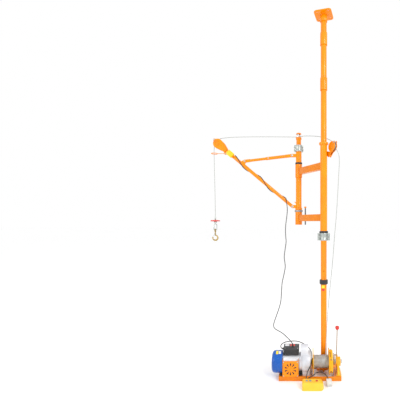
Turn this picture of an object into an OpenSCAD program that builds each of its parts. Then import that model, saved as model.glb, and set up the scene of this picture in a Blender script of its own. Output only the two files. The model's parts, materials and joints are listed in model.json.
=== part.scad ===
// Floor-to-ceiling hoist: a prop mast that is wedged under a ceiling, a
// swing frame that turns on it, a second post with a luffing boom, and a
// motor winch on the base that pulls a wire rope over two pulleys.
// Origin: on the mast axis at floor level. +X right, +Y back, +Z up.

/* [Mast] */
// Outer diameter of the mast tubes
mast_d = 51; // [43:0.1:53]
// Wall of the mast tubes
mast_wall = 3; // [2:0.1:4]
// Height of the joint between the lower and the main tube
joint_z = 770; // [640:1:925]
// Top of the main tube, inside the lower coupler
main_top = 2463; // [2300:1:2700]
// Length of the mid tube between the couplers
mid_len = 385; // [320:1:462]
// Length of the top tube
top_len = 170; // [140:1:204]
// Length of each coupler sleeve
coupler_len = 107; // [90:1:130]
// Wall of the couplers
coupler_wall = 5; // [4:0.1:6]
// Side of the square ceiling plate
plate_side = 149; // [135:1:180]
// Thickness of the ceiling plate
plate_t = 8; // [6:0.1:10]
// Spacing of the four ceiling plate holes
plate_pitch = 99; // [82:1:110]
// Travel of the ceiling plate's sleeve over the top tube
jack_travel = 40; // [30:1:50]

/* [Swing frame] */
// Bottom of the swing sleeve above the floor
swing_z = 1206; // [1005:1:1290]
// Length of the swing sleeve
swing_len = 737; // [680:1:885]
// Outer diameter of the swing sleeve
sleeve_d = 60; // [59:0.1:72]
// Wall of the swing sleeve
sleeve_wall = 3; // [2:0.1:4]
// Distance from mast axis to post axis
link_len = 390; // [325:1:468]
// Height of a link's section
link_h = 60; // [50:1:72]
// Width of a link's section
link_w = 40; // [33:1:48]

/* [Boom] */
// Outer diameter of the boom post
post_d = 55; // [46:0.1:66]
// Wall of the boom post
post_wall = 5; // [4:0.1:6]
// Horizontal run of the boom, foot pivot to head axle
boom_run = 712; // [640:1:854]
// Rise of the boom, foot pivot to head axle
boom_rise = 602; // [560:1:722]
// Outer diameter of the boom tube
boom_d = 32; // [27:0.1:38]
// Diameter of the pivot pins
pin_d = 10; // [8:0.1:12]
// Pitch radius of the head sheave
head_r = 38; // [34:0.1:40]
// Pitch radius of the tail sheave
tail_r = 36; // [33:0.1:38]
// Diameter of the wire rope
rope_d = 5; // [4:0.1:6]

/* [Winch] */
// Height of the base rails
rail_h = 36; // [30:1:43]
// Thickness of the base plates
deck_t = 4; // [3:0.1:5]
// Height of the winch shaft above the floor
shaft_z = 128; // [122:1:154]
// Radius of the drum flanges
flange_r = 105; // [88:1:108]
// Radius of the drum barrel
barrel_r = 42; // [35:1:45]
// Radius of the rope winding
winding_r = 51; // [46:0.1:56]
// Diameter of the winch shaft
shaft_d = 30; // [25:0.1:36]
// Radius of the motor housing
motor_r = 68; // [57:1:70]

/* [Hidden] */
$fn = 48;
run_fit = 0.05;          // radial clearance of a running fit
gap = 0.4;               // face-to-face clearance between moving pieces
big = 400;               // longer than any cut needs

orange = "#f79a10";
yellow = "#f5b81c";
zinc = "#c9ccc8";
black = "#26282b";

// Mast
mast_r = mast_d / 2;
foot_z = rail_h - 8;                  // underside of the mast's deck plate
coupler_r = mast_r + coupler_wall;
mid_top = main_top + mid_len;
top_end = mid_top + top_len;
plate_z = top_end + 34;               // underside of the ceiling plate
socket_z = plate_z - 57;
stem_r = mast_r - mast_wall - run_fit;  // the plate's stem slides inside the top tube
clamp_h = 62;
ring_h = 19;
clamp_z = swing_z - ring_h - clamp_h;

// Swing frame
link_angle = 125;                     // direction of the links in plan
sleeve_r = sleeve_d / 2;
sleeve_bore = sleeve_r - sleeve_wall;
low_link_z = swing_z + 114.5;
top_link_z = swing_z + 559;
collar_z = swing_z + swing_len;
post_sleeve_r = post_d / 2 + 5;
low_sleeve = [swing_z + 51, swing_z + 174];
top_sleeve = [swing_z + 502, swing_z + 628];
seat_z = low_sleeve[1] + 16;          // top of the post's bearing ring
tail_out = 72;                        // tail sheave centre, away from the links
tail_side = 40;                       // and to the side, so the rope clears the mast
tail_z = swing_z + 715;
tail_gap = 18;                        // between the tail pulley's plates
side_t = 4;
lock_x = link_len - 112;

// Post and boom, in the post's frame: x outward along the boom, y to the front
post_r = post_d / 2;
foot_x = 60;
foot_pz = swing_z + 225;
strut_x = 65;
strut_z = swing_z + 714;
boom_len = norm([boom_run, boom_rise]);
boom_tilt = atan2(boom_rise, boom_run);
head_x = foot_x + boom_run;
head_z = foot_pz + boom_rise;
lug_along = boom_len * 0.6755;        // boom lug, along the boom
lug_off = 37;                         // boom lug pivot above the boom's axis
lug_x = foot_x + lug_along * cos(boom_tilt) - lug_off * sin(boom_tilt);
lug_z = foot_pz + lug_along * sin(boom_tilt) + lug_off * cos(boom_tilt);
strut_len = norm([lug_x - strut_x, lug_z - strut_z]);
strut_tilt = atan2(lug_z - strut_z, lug_x - strut_x);
tongue_t = 10;
ear_t = 5;
ear_y = tongue_t / 2 + 0.5;
head_gap = boom_d;                    // between the head's side plates
arm_x = -70;                          // limit arm pivot from the head axle
arm_z = -100;
drop_x = head_x + head_r;             // where the rope leaves the head sheave
hang_x = drop_x - 10;                 // line of the hook below the slack rope
disc_z = 1293.5;
eye_slot_r = 10;                      // eye under the stop disc: a slot with a rim
eye_rim = 8;
eye_t = 7;
ring_wire = 10;                       // the hook's own eye
ring_r = 13;
ring_top_z = 1215;                    // wire of the hook's eye, in the bottom of the slot
eye_low = ring_top_z - ring_wire / 2 - 1.5 + eye_slot_r;  // the hook swings about this centre
eye_high = disc_z - 43.5;
hook_eye_z = ring_top_z - ring_r;
bowl_z = hook_eye_z - 70;
latch_pin = [9.5, bowl_z + 38];

// Winch
winch_y = -85;
frame_x = [-371, 135];
frame_y = [-160, 80];
bay_x = [-100, 78];                   // open bay under the drum
motor_x = [-345, -209];
gear_x = [-206, -112];
flange_x = [-95, 36];
flange_t = 5;
clutch_x = [41.5, 72];
collar_x = [77, 85];
stand_x = [91, 135];
box_min = [-334, -130, shaft_z + 69];
box_size = [124, 105, 52];
lever_z = shaft_z + 48;
lobe_z = shaft_z + 94;                 // axis of the gearbox's upper lobe
cable_d = 7;
pendant_min = [-180, -309, 0];
pendant_size = [165, 69, 60];

// Routes of ropes and cables, along their centre lines. Their ends follow the shaft and the head:
// low(z) is 1 near the winch and 0 higher up.
function low(z, full, none) = min(1, max(0, (none - z) / (none - full)));
function with_shaft(p, full, none) = [for (q = p)
    [q.x, q.y, q.z + (shaft_z - 128) * low(q.z, full, none)]];
function with_links(p) = [for (q = p)
    q + (link_len - 390) * min(1, max(0, (q.x * cos(link_angle) + q.y * sin(link_angle) - 150) / 230))
    * [cos(link_angle), sin(link_angle), 0]];
function with_head(p) = [for (q = p)
    [q.x + (head_x - 772) * min(1, q.x / 700), q.y, q.z + (head_z - 2033) * min(1, q.x / 700)]];
riser_route = with_shaft([
    [94.9, -65.7, 1920.8], [95.3, -66, 1913], [99, -67, 1898], [106, -69, 1882],
    [118, -71, 1858], [125, -72, 1830],
    [127, -74, 1790], [125, -76, 1745], [119, -80, 1640], [112, -84, 1510],
    [100, -90, 1335], [85, -97, 1165], [72, -104, 1000], [61, -109, 885],
    [48, -114, 760], [37, -119, 650], [24, -126, 500], [16, -132, 350],
    [10, -136, 250], [8, -138.8, 180], [8, -138.8, 128]], 300, 1000);
back_route = with_links([
    [-221, 316.3, 2097], [-203, 294.8, 2096.5], [-160, 243.5, 2087], [-100, 171.9, 2067],
    [-40, 100.2, 2043], [0, 52.5, 2021], [27, 20.2, 2003], [44, -0.1, 1990],
    [61.3, -20.7, 1975], [70.5, -31.7, 1967], [78, -41.5, 1959.5], [84.6, -51, 1952.8],
    [90.1, -58.9, 1944.4], [93.8, -64, 1933.5], [94.9, -65.7, 1926], [94.9, -65.7, 1921]]);
boom_route = with_head([
    [4, 0, 2097], [40, 0, 2098], [120, 0, 2099], [260, 0, 2100], [420, 0, 2100],
    [560, 0, 2098], [640, 0, 2095], [700, 0, 2090], [740, 0, 2084.5],
    [768, 0, 2077], [788.5, 0, 2068], [800.5, 0, 2059.3], [807.8, 0, 2047.5],
    [810, 0, 2038], [810, 0, 2033.2]]);
drop_route = with_head([
    [810, 0, 2033], [810.5, 0, 2005], [811.5, 0, 1965], [811, 0, 1900], [809, 0, 1800],
    [806, 0, 1680], [803, 0, 1560], [801, 0, 1440], [800, 0, 1380], [800, 0, 1335]]);
hanging_route = with_links([
    [-351, 319, 1514], [-347, 315.5, 1510.5], [-343.5, 308, 1504], [-341.5, 298, 1493],
    [-338.5, 291, 1472], [-334, 289, 1440], [-331, 288, 1400], [-335, 285, 1340],
    [-343, 278, 1275], [-347, 270, 1217], [-344, 260.1, 1150.5]]);
lower_route = with_shaft(with_links([
    [-344, 260, 1150], [-340, 250, 1095], [-349, 235, 1020], [-355, 220, 958],
    [-348, 206, 910], [-344, 195, 865], [-357, 170, 790], [-368, 148, 735],
    [-372, 122, 660], [-376, 95, 580], [-391, 72, 520], [-410, 48, 465],
    [-426, 26, 420], [-430, 12, 400], [-427, -2, 384], [-414, -17, 373],
    [-392, -33, 366], [-365, -48, 357], [-335, -60, 340], [-300, -71, 312],
    [-277, -77, 289], [-264, -80, 272], [-262, -80, 259], [-262, -80, 252]]), 400, 800);
pendant_route = [for (q = [
    [-342, -80, 232], [-350, -80, 232.5], [-357.5, -80, 237], [-361, -79.5, 247],
    [-359, -79, 258], [-351, -77.5, 268], [-338, -75, 276], [-317, -70, 282.5],
    [-276, -55, 283], [-242, -43, 279], [-212, -33, 270.5], [-176, -26, 252],
    [-150, -22.5, 234], [-126, -24, 213], [-110, -36, 193], [-104, -56, 181],
    [-103.6, -80, 177], [-103.6, -104, 174], [-103.6, -128, 168], [-104.5, -148, 156],
    [-109, -164, 138], [-118, -175, 120], [-128, -177, 104], [-136, -177, 88],
    [-142, -180, 71], [-147, -187, 56], [-149, -199, 49], [-147.5, -212, 47], [-147, -224, 47]])
    [q.x, q.y, q.z + (shaft_z - 128) * (1 - low(q.z, 50, 150))]];
plug_route = [
    [-128, -224, 47], [-128, -213, 47], [-125, -198, 46.5], [-116, -183, 45.5],
    [-104, -172, 45.5], [-93, -164.5, 48], [-84, -158, 53], [-68, -147, 60.5], [-46, -139.5, 63.5],
    [-24, -138, 61.5], [-6, -142, 55], [6, -149.5, 48], [14.5, -158.5, 42.8],
    [20.5, -170, 40], [24.3, -184, 37.3], [26, -196, 34.2]];
plug_turn = 8;                        // the plug's direction, from the front
plug_tilt = 15;                       // and down to the floor

// Helpers

module bar(d, from, to) translate([0, 0, from]) cylinder(d = d, h = to - from);

module tube(r_out, r_in, from, to) difference() {
    bar(2 * r_out, from, to);
    bar(2 * r_in, from - 1, to + 1);
}

// A cylinder along X on the winch's shaft line
module on_shaft(from, to, r) translate([from, winch_y, shaft_z]) rotate([0, 90, 0])
    cylinder(r = r, h = to - from);

module ring_on_shaft(from, to, r_out, r_in) difference() {
    on_shaft(from, to, r_out);
    on_shaft(from - 1, to + 1, r_in);
}

module box(low, high) translate(low) cube(high - low);

module on_links() rotate([0, 0, link_angle]) children();

module on_post() translate([link_len * cos(link_angle), link_len * sin(link_angle), 0])
    rotate([0, 0, 180]) children();

// A cylinder along Y in the post's frame, centred on y = mid
module cross_pin(x, z, d, len, mid = 0) translate([x, mid + len / 2, z])
    rotate([90, 0, 0]) cylinder(d = d, h = len);

// A flat piece in the post's x-z plane, between y = from and to
module flat(from, to) translate([0, to, 0]) rotate([90, 0, 0])
    linear_extrude(to - from) children();

// Along the boom's axis from its foot pivot: x outward, z across
module on_boom() translate([foot_x, 0, foot_pz]) rotate([0, -boom_tilt, 0]) children();

module on_strut() translate([strut_x, 0, strut_z]) rotate([0, -strut_tilt, 0]) children();

module lying_bar(d, from, to) translate([from, 0, 0]) rotate([0, 90, 0])
    cylinder(d = d, h = to - from);

// A hexagon head or nut along Y
module hex_y(x, z, across, from, to) translate([x, to, z]) rotate([90, 0, 0])
    cylinder(d = across / cos(30), h = to - from, $fn = 6);

module pin_with_head(x, z, d, half) {
    cross_pin(x, z, d, 2 * half);
    hex_y(x, z, 1.6 * d, half, half + 0.6 * d);
    hex_y(x, z, 1.6 * d, -half - 0.6 * d, -half);
}

// Round cord swept along points; the section is carried without twist
function unit(v) = v / norm(v);
function heading(p, i) = unit(p[min(i + 1, len(p) - 1)] - p[max(i - 1, 0)]);
function carried(p, i = 0, side = [0, 0, 0]) = let (
    t = heading(p, i),
    seed = i == 0 ? (abs(t.z) < 0.8 ? [0, 0, 1] : [1, 0, 0]) : side,
    s = unit(seed - (seed * t) * t)
) i == len(p) - 1 ? [s] : concat([s], carried(p, i + 1, s));

module cord(p, d, sides = 8) {
    s = carried(p);
    n = len(p);
    rings = [for (i = [0:n - 1], k = [0:sides - 1]) let (t = heading(p, i))
        p[i] + d / 2 * (cos(360 * k / sides) * s[i] + sin(360 * k / sides) * cross(t, s[i]))];
    walls = [for (i = [0:n - 2], k = [0:sides - 1]) let (m = (k + 1) % sides)
        [i * sides + k, (i + 1) * sides + k, (i + 1) * sides + m, i * sides + m]];
    ends = [[for (k = [0:sides - 1]) k], [for (k = [sides - 1:-1:0]) (n - 1) * sides + k]];
    polyhedron(rings, concat(walls, ends), convexity = 4);
}

// Base and mast

module base_frame() color(orange) difference() {
    union() {
        box([frame_x[0], frame_y[0], 0], [frame_x[1], frame_y[0] + deck_t, rail_h]);
        box([frame_x[0], frame_y[1] - deck_t, 0], [frame_x[1], frame_y[1], rail_h]);
        box([frame_x[0], frame_y[0], 0], [frame_x[0] + deck_t, frame_y[1], rail_h]);
        box([frame_x[1] - deck_t, frame_y[0], 0], [frame_x[1], frame_y[1], rail_h]);
        box([frame_x[0], frame_y[0], 0], [frame_x[1], frame_y[0] + 30, deck_t]);
        box([frame_x[0], frame_y[1] - 30, 0], [frame_x[1], frame_y[1], deck_t]);
        box([frame_x[0], frame_y[0], rail_h - deck_t], [bay_x[0], frame_y[1], rail_h]);
        box([bay_x[1], frame_y[0], rail_h - deck_t], [frame_x[1], frame_y[1], rail_h]);
        box([-60, -34, foot_z], [flange_x[1] - 3, frame_y[1] - deck_t, rail_h]);
        box([-4, -8, 0], [4, frame_y[1] - deck_t, foot_z]);
    }
    for (x = [frame_x[0] + 22, frame_x[1] - 22], y = [frame_y[0] + 17, frame_y[1] - 17])
        translate([x, y, 0]) bar(12, -1, deck_t + 1);
    for (x = [78, 112], y = [-5, 45]) translate([x, y, 0]) bar(14, rail_h - 9, rail_h + 1);
}

module mast_foot() color(orange) {
    difference() {
        union() {
            translate([-32, -34, rail_h]) cube([64, 104, 8]);
            bar(mast_d + 12, rail_h + 8, rail_h + 78);
        }
        bar(mast_d, rail_h + 8, rail_h + 80);
    }
    for (x = [-20, 20]) translate([x, 54, rail_h + 8]) cylinder(d = 14, h = 6, $fn = 6);
}

module mast_tubes() color(orange) difference() {
    union() {
        tube(mast_r, mast_r - mast_wall, rail_h + 8, joint_z);
        tube(mast_r, mast_r - mast_wall, joint_z + 0.5, main_top);
        tube(mast_r, mast_r - mast_wall, main_top + 0.5, mid_top);
        tube(mast_r, mast_r - mast_wall, mid_top + 0.5, top_end);
        tube(mast_r - mast_wall, mast_r - mast_wall - 3, joint_z - 120, joint_z + 120);
    }
    translate([0, 0, joint_z + 96]) rotate([90, 0, 0]) cylinder(d = 9, h = 60);
}

module couplers() color(orange) for (z = [main_top, mid_top]) {
    tube(coupler_r, mast_r, z - coupler_len / 2, z + coupler_len / 2);
    for (side = [-1, 1]) translate([0, coupler_r - 1, z + side * 30]) rotate([-90, 0, 0])
        cylinder(d = 12, h = 8, $fn = 6);
}

module soft_ring(r_out, r_in, from, to) {
    edge = min(4, (to - from) / 3);
    rotate_extrude() polygon([
        [r_in, from], [r_out - edge, from], [r_out, from + edge],
        [r_out, to - edge], [r_out - edge, to], [r_in, to]]);
}

module mast_rings() color(black) {
    soft_ring(mast_r + 10, mast_r, joint_z - 19, joint_z + 20);
    soft_ring(mast_r + 12, mast_r, swing_z - ring_h, swing_z - gap);
}

// Split clamp of two half shells with flanged ears, bolts and nuts
module split_clamp(r, z, h, ear) {
    shell = 7;
    for (side = [0, 180]) rotate([0, 0, side]) difference() {
        union() {
            tube(r + shell, r, z, z + h);
            for (end = [-1, 1]) translate([end * (r + ear / 2), shell / 2 + 1, z + h / 2])
                cube([ear, shell, h], center = true);
            for (level = [0.12, 0.88]) translate([0, 0, z + h * level - 3])
                tube(r + shell + 3, r, 0, 6);
        }
        box([-big, -big, z - 1], [big, 1, z + h + 1]);
        bar(2 * r, z - 1, z + h + 1);
        for (end = [-1, 1], level = [0.28, 0.72])
            translate([end * (r + ear * 0.62), 0, z + h * level]) rotate([90, 0, 0])
                cylinder(d = 9.6, h = big, center = true);
    }
    for (end = [-1, 1], level = [0.28, 0.72])
        translate([end * (r + ear * 0.62), 0, z + h * level]) rotate([90, 0, 0]) {
            translate([0, 0, -22]) cylinder(d = 9, h = 44);
            for (face = [-15, 8.2]) translate([0, 0, face])
                cylinder(d = 17, h = 7, $fn = 6);
        }
}

module mast_clamp() color(zinc) rotate([0, 0, -8])
    split_clamp(mast_r, clamp_z, clamp_h, 27);

module ceiling_plate() color(orange) {
    tube(mast_r + 5, mast_r + run_fit, socket_z, plate_z);
    tube(stem_r, stem_r - mast_wall, top_end - jack_travel - 60, plate_z + 1);
    rotate([0, 0, -14.3]) difference() {
        translate([0, 0, plate_z]) linear_extrude(plate_t) {
            square([plate_side, plate_side - 50], center = true);
            square([plate_side - 50, plate_side], center = true);
            for (x = [-1, 1], y = [-1, 1])
                translate([x, y] * (plate_side / 2 - 25)) circle(r = 25);
        }
        for (x = [-1, 1], y = [-1, 1]) translate([x, y, 0] * plate_pitch / 2)
            bar(14, plate_z - 1, plate_z + plate_t + 1);
    }
}

// Swing frame

module swing_sleeve() color(orange) {
    tube(sleeve_r, sleeve_bore, swing_z, collar_z);
    difference() {
        rotate_extrude() polygon([
            [sleeve_bore, collar_z], [sleeve_r + 7, collar_z], [sleeve_r + 10, collar_z + 3],
            [sleeve_r + 10, collar_z + 17], [sleeve_r + 7, collar_z + 20],
            [sleeve_bore, collar_z + 20]]);
        bar(2 * sleeve_bore, collar_z - 1, collar_z + 21);
    }
}

module swing_bearings() {
    color("#b08a3c") {
        tube(sleeve_bore, mast_r + run_fit, swing_z, swing_z + 40);
        tube(sleeve_bore, mast_r + run_fit, collar_z - 20, collar_z + 20);
    }
    on_links() translate([link_len, 0, 0]) {
        color("#8a8d90") tube(post_r + 11.5, post_r + gap, low_sleeve[1], seat_z);
        color(black) tube(post_r + 5.5, post_r + gap, top_sleeve[1], top_sleeve[1] + 17);
    }
}

module swing_links() color(orange) on_links() difference() {
    for (z = [low_link_z, top_link_z]) difference() {
        translate([0, -link_w / 2, z - link_h / 2]) cube([link_len, link_w, link_h]);
        translate([-1, -link_w / 2 + 3, z - link_h / 2 + 3])
            cube([link_len + 2, link_w - 6, link_h - 6]);
    }
    bar(sleeve_d, swing_z, collar_z);
    translate([link_len, 0, 0]) bar(2 * post_sleeve_r, swing_z, collar_z);
    translate([lock_x, 0, 0]) bar(12 + 2 * run_fit, swing_z, swing_z + 300);
}

module post_sleeves() color(orange) on_links() translate([link_len, 0, 0])
    for (span = [low_sleeve, top_sleeve])
        tube(post_sleeve_r, post_r + run_fit, span[0], span[1]);

module on_tail() on_links() translate([-tail_out, -tail_side, tail_z]) children();

module tail_side_plate() difference() {
    union() {
        circle(r = tail_r + 7);
        polygon([[-tail_r - 6, 6], [-34, 40], [-20, 37]]);
        translate([-32, 31]) circle(r = 10);
        polygon([[-20, -38], [14, -41], [tail_out, -30], [tail_out, -62], [40, -86], [8, -52]]);
    }
    circle(d = 12);
    translate([-32, 31]) circle(d = 8);
}

module tail_bracket() color(orange) difference() {
    on_tail() {
        for (y = [-tail_gap / 2 - side_t, tail_gap / 2]) flat(y, y + side_t)
            tail_side_plate();
        translate([20, -tail_gap / 2, -70]) rotate([0, 25, 0]) cube([26, tail_gap, 5]);
    }
    on_links() bar(sleeve_d, swing_z, collar_z);
    on_links() bar(sleeve_d + 20, collar_z, collar_z + 20);
}

module tail_axle() color(zinc) on_tail() {
    pin_with_head(0, 0, 12, tail_gap / 2 + side_t);
    pin_with_head(-32, 31, 8, tail_gap / 2 + side_t);
}

// Grooved wheel along Y at the local origin
module sheave(pitch_r, width, bore_d) rotate([90, 0, 0]) difference() {
    rotate_extrude() polygon([
        [bore_d / 2, -width / 2], [14, -width / 2], [14, -width / 2 + 2],
        [pitch_r - 9, -width / 2 + 3], [pitch_r + 3, -width / 2 + 2],
        [pitch_r + 3, -width / 2 + 4], [pitch_r - rope_d / 2 - 1, -rope_d / 2],
        [pitch_r - rope_d / 2 - 1, rope_d / 2], [pitch_r + 3, width / 2 - 4],
        [pitch_r + 3, width / 2 - 2], [pitch_r - 9, width / 2 - 3],
        [14, width / 2 - 2], [14, width / 2], [bore_d / 2, width / 2]]);
    cylinder(d = bore_d, h = big, center = true);
}

module tail_sheave() color("#6d6f70") on_tail()
    sheave(tail_r, tail_gap - 2 * gap, 12 + 2 * run_fit);

module lock_pin() on_links() translate([lock_x, 0, 0]) {
    color(zinc) bar(12, low_link_z - 63, low_link_z + 92);
    color(orange) soft_ring(11, 0, low_link_z + 92, low_link_z + 106);
}

// Post

module pivot_ears(x, z, reach, rear) for (y = [-ear_y - ear_t, ear_y])
    difference() {
        flat(y, y + ear_t) difference() {
            union() {
                translate([x, z]) circle(r = 15);
                polygon([[x, z + 15], [x, z - 15], [rear, z - 15 - reach], [rear, z + 15]]);
            }
            translate([x, z]) circle(d = pin_d);
        }
        bar(post_d, z - big, z + big);
    }

module boom_post() on_post() {
    color(orange) {
        difference() {
            union() {
                bar(post_d, low_sleeve[0], collar_z + 75);
                bar(post_d + 11, seat_z + gap, seat_z + 22);
            }
            bar(post_d - 2 * post_wall, low_sleeve[0] - 1, collar_z + 76);
        }
        pivot_ears(foot_x, foot_pz, 0, 5);
        pivot_ears(strut_x, strut_z, 0, 5);
        difference() {
            translate([12, -3, foot_pz + 8]) rotate([0, -50, 0]) cube([46, 6, 8]);
            bar(post_d, foot_pz - 50, foot_pz + 150);
        }
    }
    color(zinc) for (p = [[foot_x, foot_pz], [strut_x, strut_z]])
        pin_with_head(p[0], p[1], pin_d, ear_y + ear_t);
}

module post_clamp() color(zinc) on_post() rotate([0, 0, 12])
    split_clamp(post_r, collar_z + 12, 62, 15);

roller_off = 14;
roller_r = 8.5;
guide_z = collar_z + 149;             // underside of the roller zone
guide_h = 30;

module guide_head() color(orange) on_post() {
    bar(post_d - 2 * post_wall, collar_z - 30, guide_z - 18);
    bar(54, guide_z - 18, guide_z);
    rotate([0, 0, -25]) for (side = [-1, 1]) translate([0, side * roller_off, 0])
        bar(6, guide_z, guide_z + guide_h);
    rotate_extrude() polygon([
        [0, guide_z + guide_h], [25, guide_z + guide_h], [26, guide_z + guide_h + 4],
        [22, guide_z + guide_h + 10], [12, guide_z + guide_h + 15], [0, guide_z + guide_h + 17]]);
}

module guide_roller(side) color(zinc) on_post() rotate([0, 0, -25])
    translate([0, side * roller_off, 0])
        tube(roller_r, 3 + run_fit, guide_z + gap, guide_z + guide_h - gap);

module front_roller() guide_roller(1);
module back_roller() guide_roller(-1);

// Strut

strut_out_d = 30;
strut_wall = 2.5;
strut_in_d = strut_out_d - 2 * strut_wall - 2 * run_fit;
strut_split = 250;                    // open end of the outer tube
lug_hole = pin_d + 6;                 // clearance at the strut's open pivot

// Flattened end: a tongue with a round end, thickness along Y
module tongue(from, to, wide, hole) flat(-tongue_t / 2, tongue_t / 2) difference() {
    union() {
        circle(d = wide);
        translate([0, -wide / 2]) square([to - from, wide]);
    }
    circle(d = hole);
}

module strut_outer() color(orange) on_post() on_strut() {
    tongue(0, 60, 30, pin_d + 2 * run_fit);
    difference() {
        lying_bar(strut_out_d, 60, strut_split);
        lying_bar(strut_out_d - 2 * strut_wall, 75, strut_split + 1);
    }
    translate([strut_split - 22, 0, 0]) rotate([-90, 0, 0])
        translate([0, 0, strut_out_d / 2 - 1]) cylinder(d = 12, h = 8, $fn = 6);
}

module strut_inner() color(orange) on_post() on_strut() {
    difference() {
        lying_bar(strut_in_d, 150, strut_len - 52);
        lying_bar(strut_in_d - 5, 149, strut_len - 60);
    }
    translate([strut_len, 0, 0]) mirror([1, 0, 0]) tongue(0, 52, 28, lug_hole);
}

// Boom

module boom_tube() on_post() {
    color(orange) on_boom() {
        tongue(0, 58, 30, pin_d + 2 * run_fit);
        difference() {
            lying_bar(boom_d, 58, boom_len - 75);
            lying_bar(boom_d - 5, 70, boom_len - 74);
        }
        for (y = [-ear_y - ear_t, ear_y]) difference() {
            flat(y, y + ear_t) difference() {
                union() {
                    translate([lug_along, lug_off]) circle(r = 14);
                    polygon([
                        [lug_along - 14, lug_off], [lug_along + 14, lug_off],
                        [lug_along + 24, 12], [lug_along - 20, 12]]);
                }
                translate([lug_along, lug_off]) circle(d = pin_d);
            }
            lying_bar(boom_d, 60, boom_len);
        }
    }
    color(zinc) pin_with_head(lug_x, lug_z, pin_d, ear_y + ear_t);
}

module head_side_plate() difference() {
    union() {
        circle(r = head_r + 7);
        polygon([[1, head_r + 6.9], [-46, head_r + 3], [-104, 20], [-104, -20], [-75, -26],
            [-50, -34], [-9, -head_r - 6]]);
        polygon([[36, 27], [50, 15], [54, -1], [44, -9]]);
        translate([49, 6]) circle(r = 10);
    }
    circle(d = 12);
    translate([49, 6]) circle(d = 8);
    translate([-46, -43]) circle(r = 9);
}

module on_head() on_boom() translate([boom_len, 0, 0]) children();

module head_plates() color(orange) on_post() {
    on_head() {
        for (y = [-head_gap / 2 - side_t, head_gap / 2]) flat(y, y + side_t)
            head_side_plate();
        difference() {
            translate([-100, -head_gap / 2, -14]) cube([34, head_gap, 28]);
            lying_bar(boom_d, -102, -75);
        }
    }
    difference() {
        for (y = [-9, 5]) flat(y, y + 4) difference() {
            polygon([
                [head_x + arm_x - 9, head_z + arm_z - 2], [head_x + arm_x + 9, head_z + arm_z - 2],
                [head_x + arm_x + 24, head_z + arm_z + 50], [head_x + arm_x - 14, head_z + arm_z + 24]]);
            translate([head_x + arm_x, head_z + arm_z + 6]) circle(d = 6);
        }
        on_boom() lying_bar(boom_d, boom_len - 200, boom_len);
        on_head() translate([-100, -head_gap / 2, -14]) cube([34, head_gap, 28]);
    }
}

module head_axle() color(zinc) on_post() {
    on_head() {
        pin_with_head(0, 0, 12, head_gap / 2 + side_t);
        pin_with_head(49, 6, 8, head_gap / 2 + side_t);
    }
    pin_with_head(head_x + arm_x, head_z + arm_z + 6, 6, 9);
}

module head_sheave() color("#6d6f70") on_post() on_head()
    sheave(head_r, head_gap - 2 * gap, 12 + 2 * run_fit);

module limit_switch() color("#ffcf1a") on_post() on_boom() {
    translate([boom_len - 190, boom_d / 2, -25]) cube([60, 32, 50]);
    translate([boom_len - 130, boom_d / 2 + 8, -12]) cube([6, 16, 16]);
}

// Wire ring round the rope, on an arm that trips the switch when it is lifted
module limit_arm() color(orange) on_post() {
    pivot = [head_x + arm_x, head_z + arm_z + 6];
    ring_x = hang_x + 8;
    difference() {
        union() {
            cross_pin(pivot[0], pivot[1], 14, 8);
            translate([pivot[0], 0, pivot[1]]) lying_bar(5, 6, ring_x - 28 - pivot[0]);
            translate([ring_x, 0, pivot[1]]) rotate_extrude() polygon([
                [25.8, -1.4], [27.4, -3], [29.6, -3], [31.2, -1.4],
                [31.2, 1.4], [29.6, 3], [27.4, 3], [25.8, 1.4]]);
        }
        cross_pin(pivot[0], pivot[1], 6 + 2 * run_fit, 20);
    }
}

// Signal cable wound round the boom, two long turns
coil_r = boom_d / 2 + cable_d / 2 + 0.4;
coil_from = boom_len - 195;
coil_to = 106;
function coil_point(f) = [coil_from + f * (coil_to - coil_from),
    coil_r * sin(720 * f), coil_r * cos(720 * f)];

module boom_cable() color(black) on_post() on_boom()
    cord([for (i = [0:32]) coil_point(i / 32)], cable_d);

// Rope

module rope_riser() color(zinc) cord(riser_route, rope_d);
module rope_back() color(zinc) cord(back_route, rope_d);
module rope_boom() color(zinc) on_post() cord(boom_route, rope_d);
module rope_drop() color(zinc) on_post() cord(drop_route, rope_d);

module on_hook() on_post() translate([hang_x, 0, 0]) children();

module stop_disc() color("#d8261c") on_hook() difference() {
    rotate_extrude() polygon([
        [4, disc_z - 5], [41, disc_z - 5], [45, disc_z - 2], [45, disc_z + 3],
        [41, disc_z + 6], [16, disc_z + 9], [4, disc_z + 9]]);
    bar(8, disc_z - 20, disc_z + 20);
}

module slot_outline(r) {
    for (z = [eye_low, eye_high]) translate([0, z]) circle(r = r);
    translate([-r, eye_low]) square([2 * r, eye_high - eye_low]);
}

module rope_thimble() color("#8e9290") on_hook() {
    bar(14, disc_z + 9, disc_z + 41);
    bar(8, disc_z - 30, disc_z + 9);
    bar(26, disc_z - 19, disc_z - 5);
    flat(-eye_t / 2, eye_t / 2) difference() {
        slot_outline(eye_slot_r + eye_rim);
        slot_outline(eye_slot_r);
    }
    bar(12, eye_high + eye_slot_r + eye_rim / 2, disc_z - 19);
}

module hook() color("#b89b4a") on_hook() difference() {
    union() {
        translate([0, 0, hook_eye_z]) rotate([90, 0, 90]) rotate_extrude()
            translate([ring_r, 0]) circle(d = ring_wire);
        bar(13, bowl_z + 28, hook_eye_z - 15);
        translate([0, 0, bowl_z]) rotate([90, 0, 0]) rotate([0, 0, 90])
            rotate_extrude(angle = 270) translate([24, 0]) circle(d = 15);
        translate([24, 0, bowl_z]) sphere(d = 15);
        translate([0, 0, bowl_z + 24]) sphere(d = 15);
        cross_pin(latch_pin.x, latch_pin.y, 9, 8);
    }
    cross_pin(latch_pin.x, latch_pin.y, 4 + 2 * run_fit, 30);
}

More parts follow.
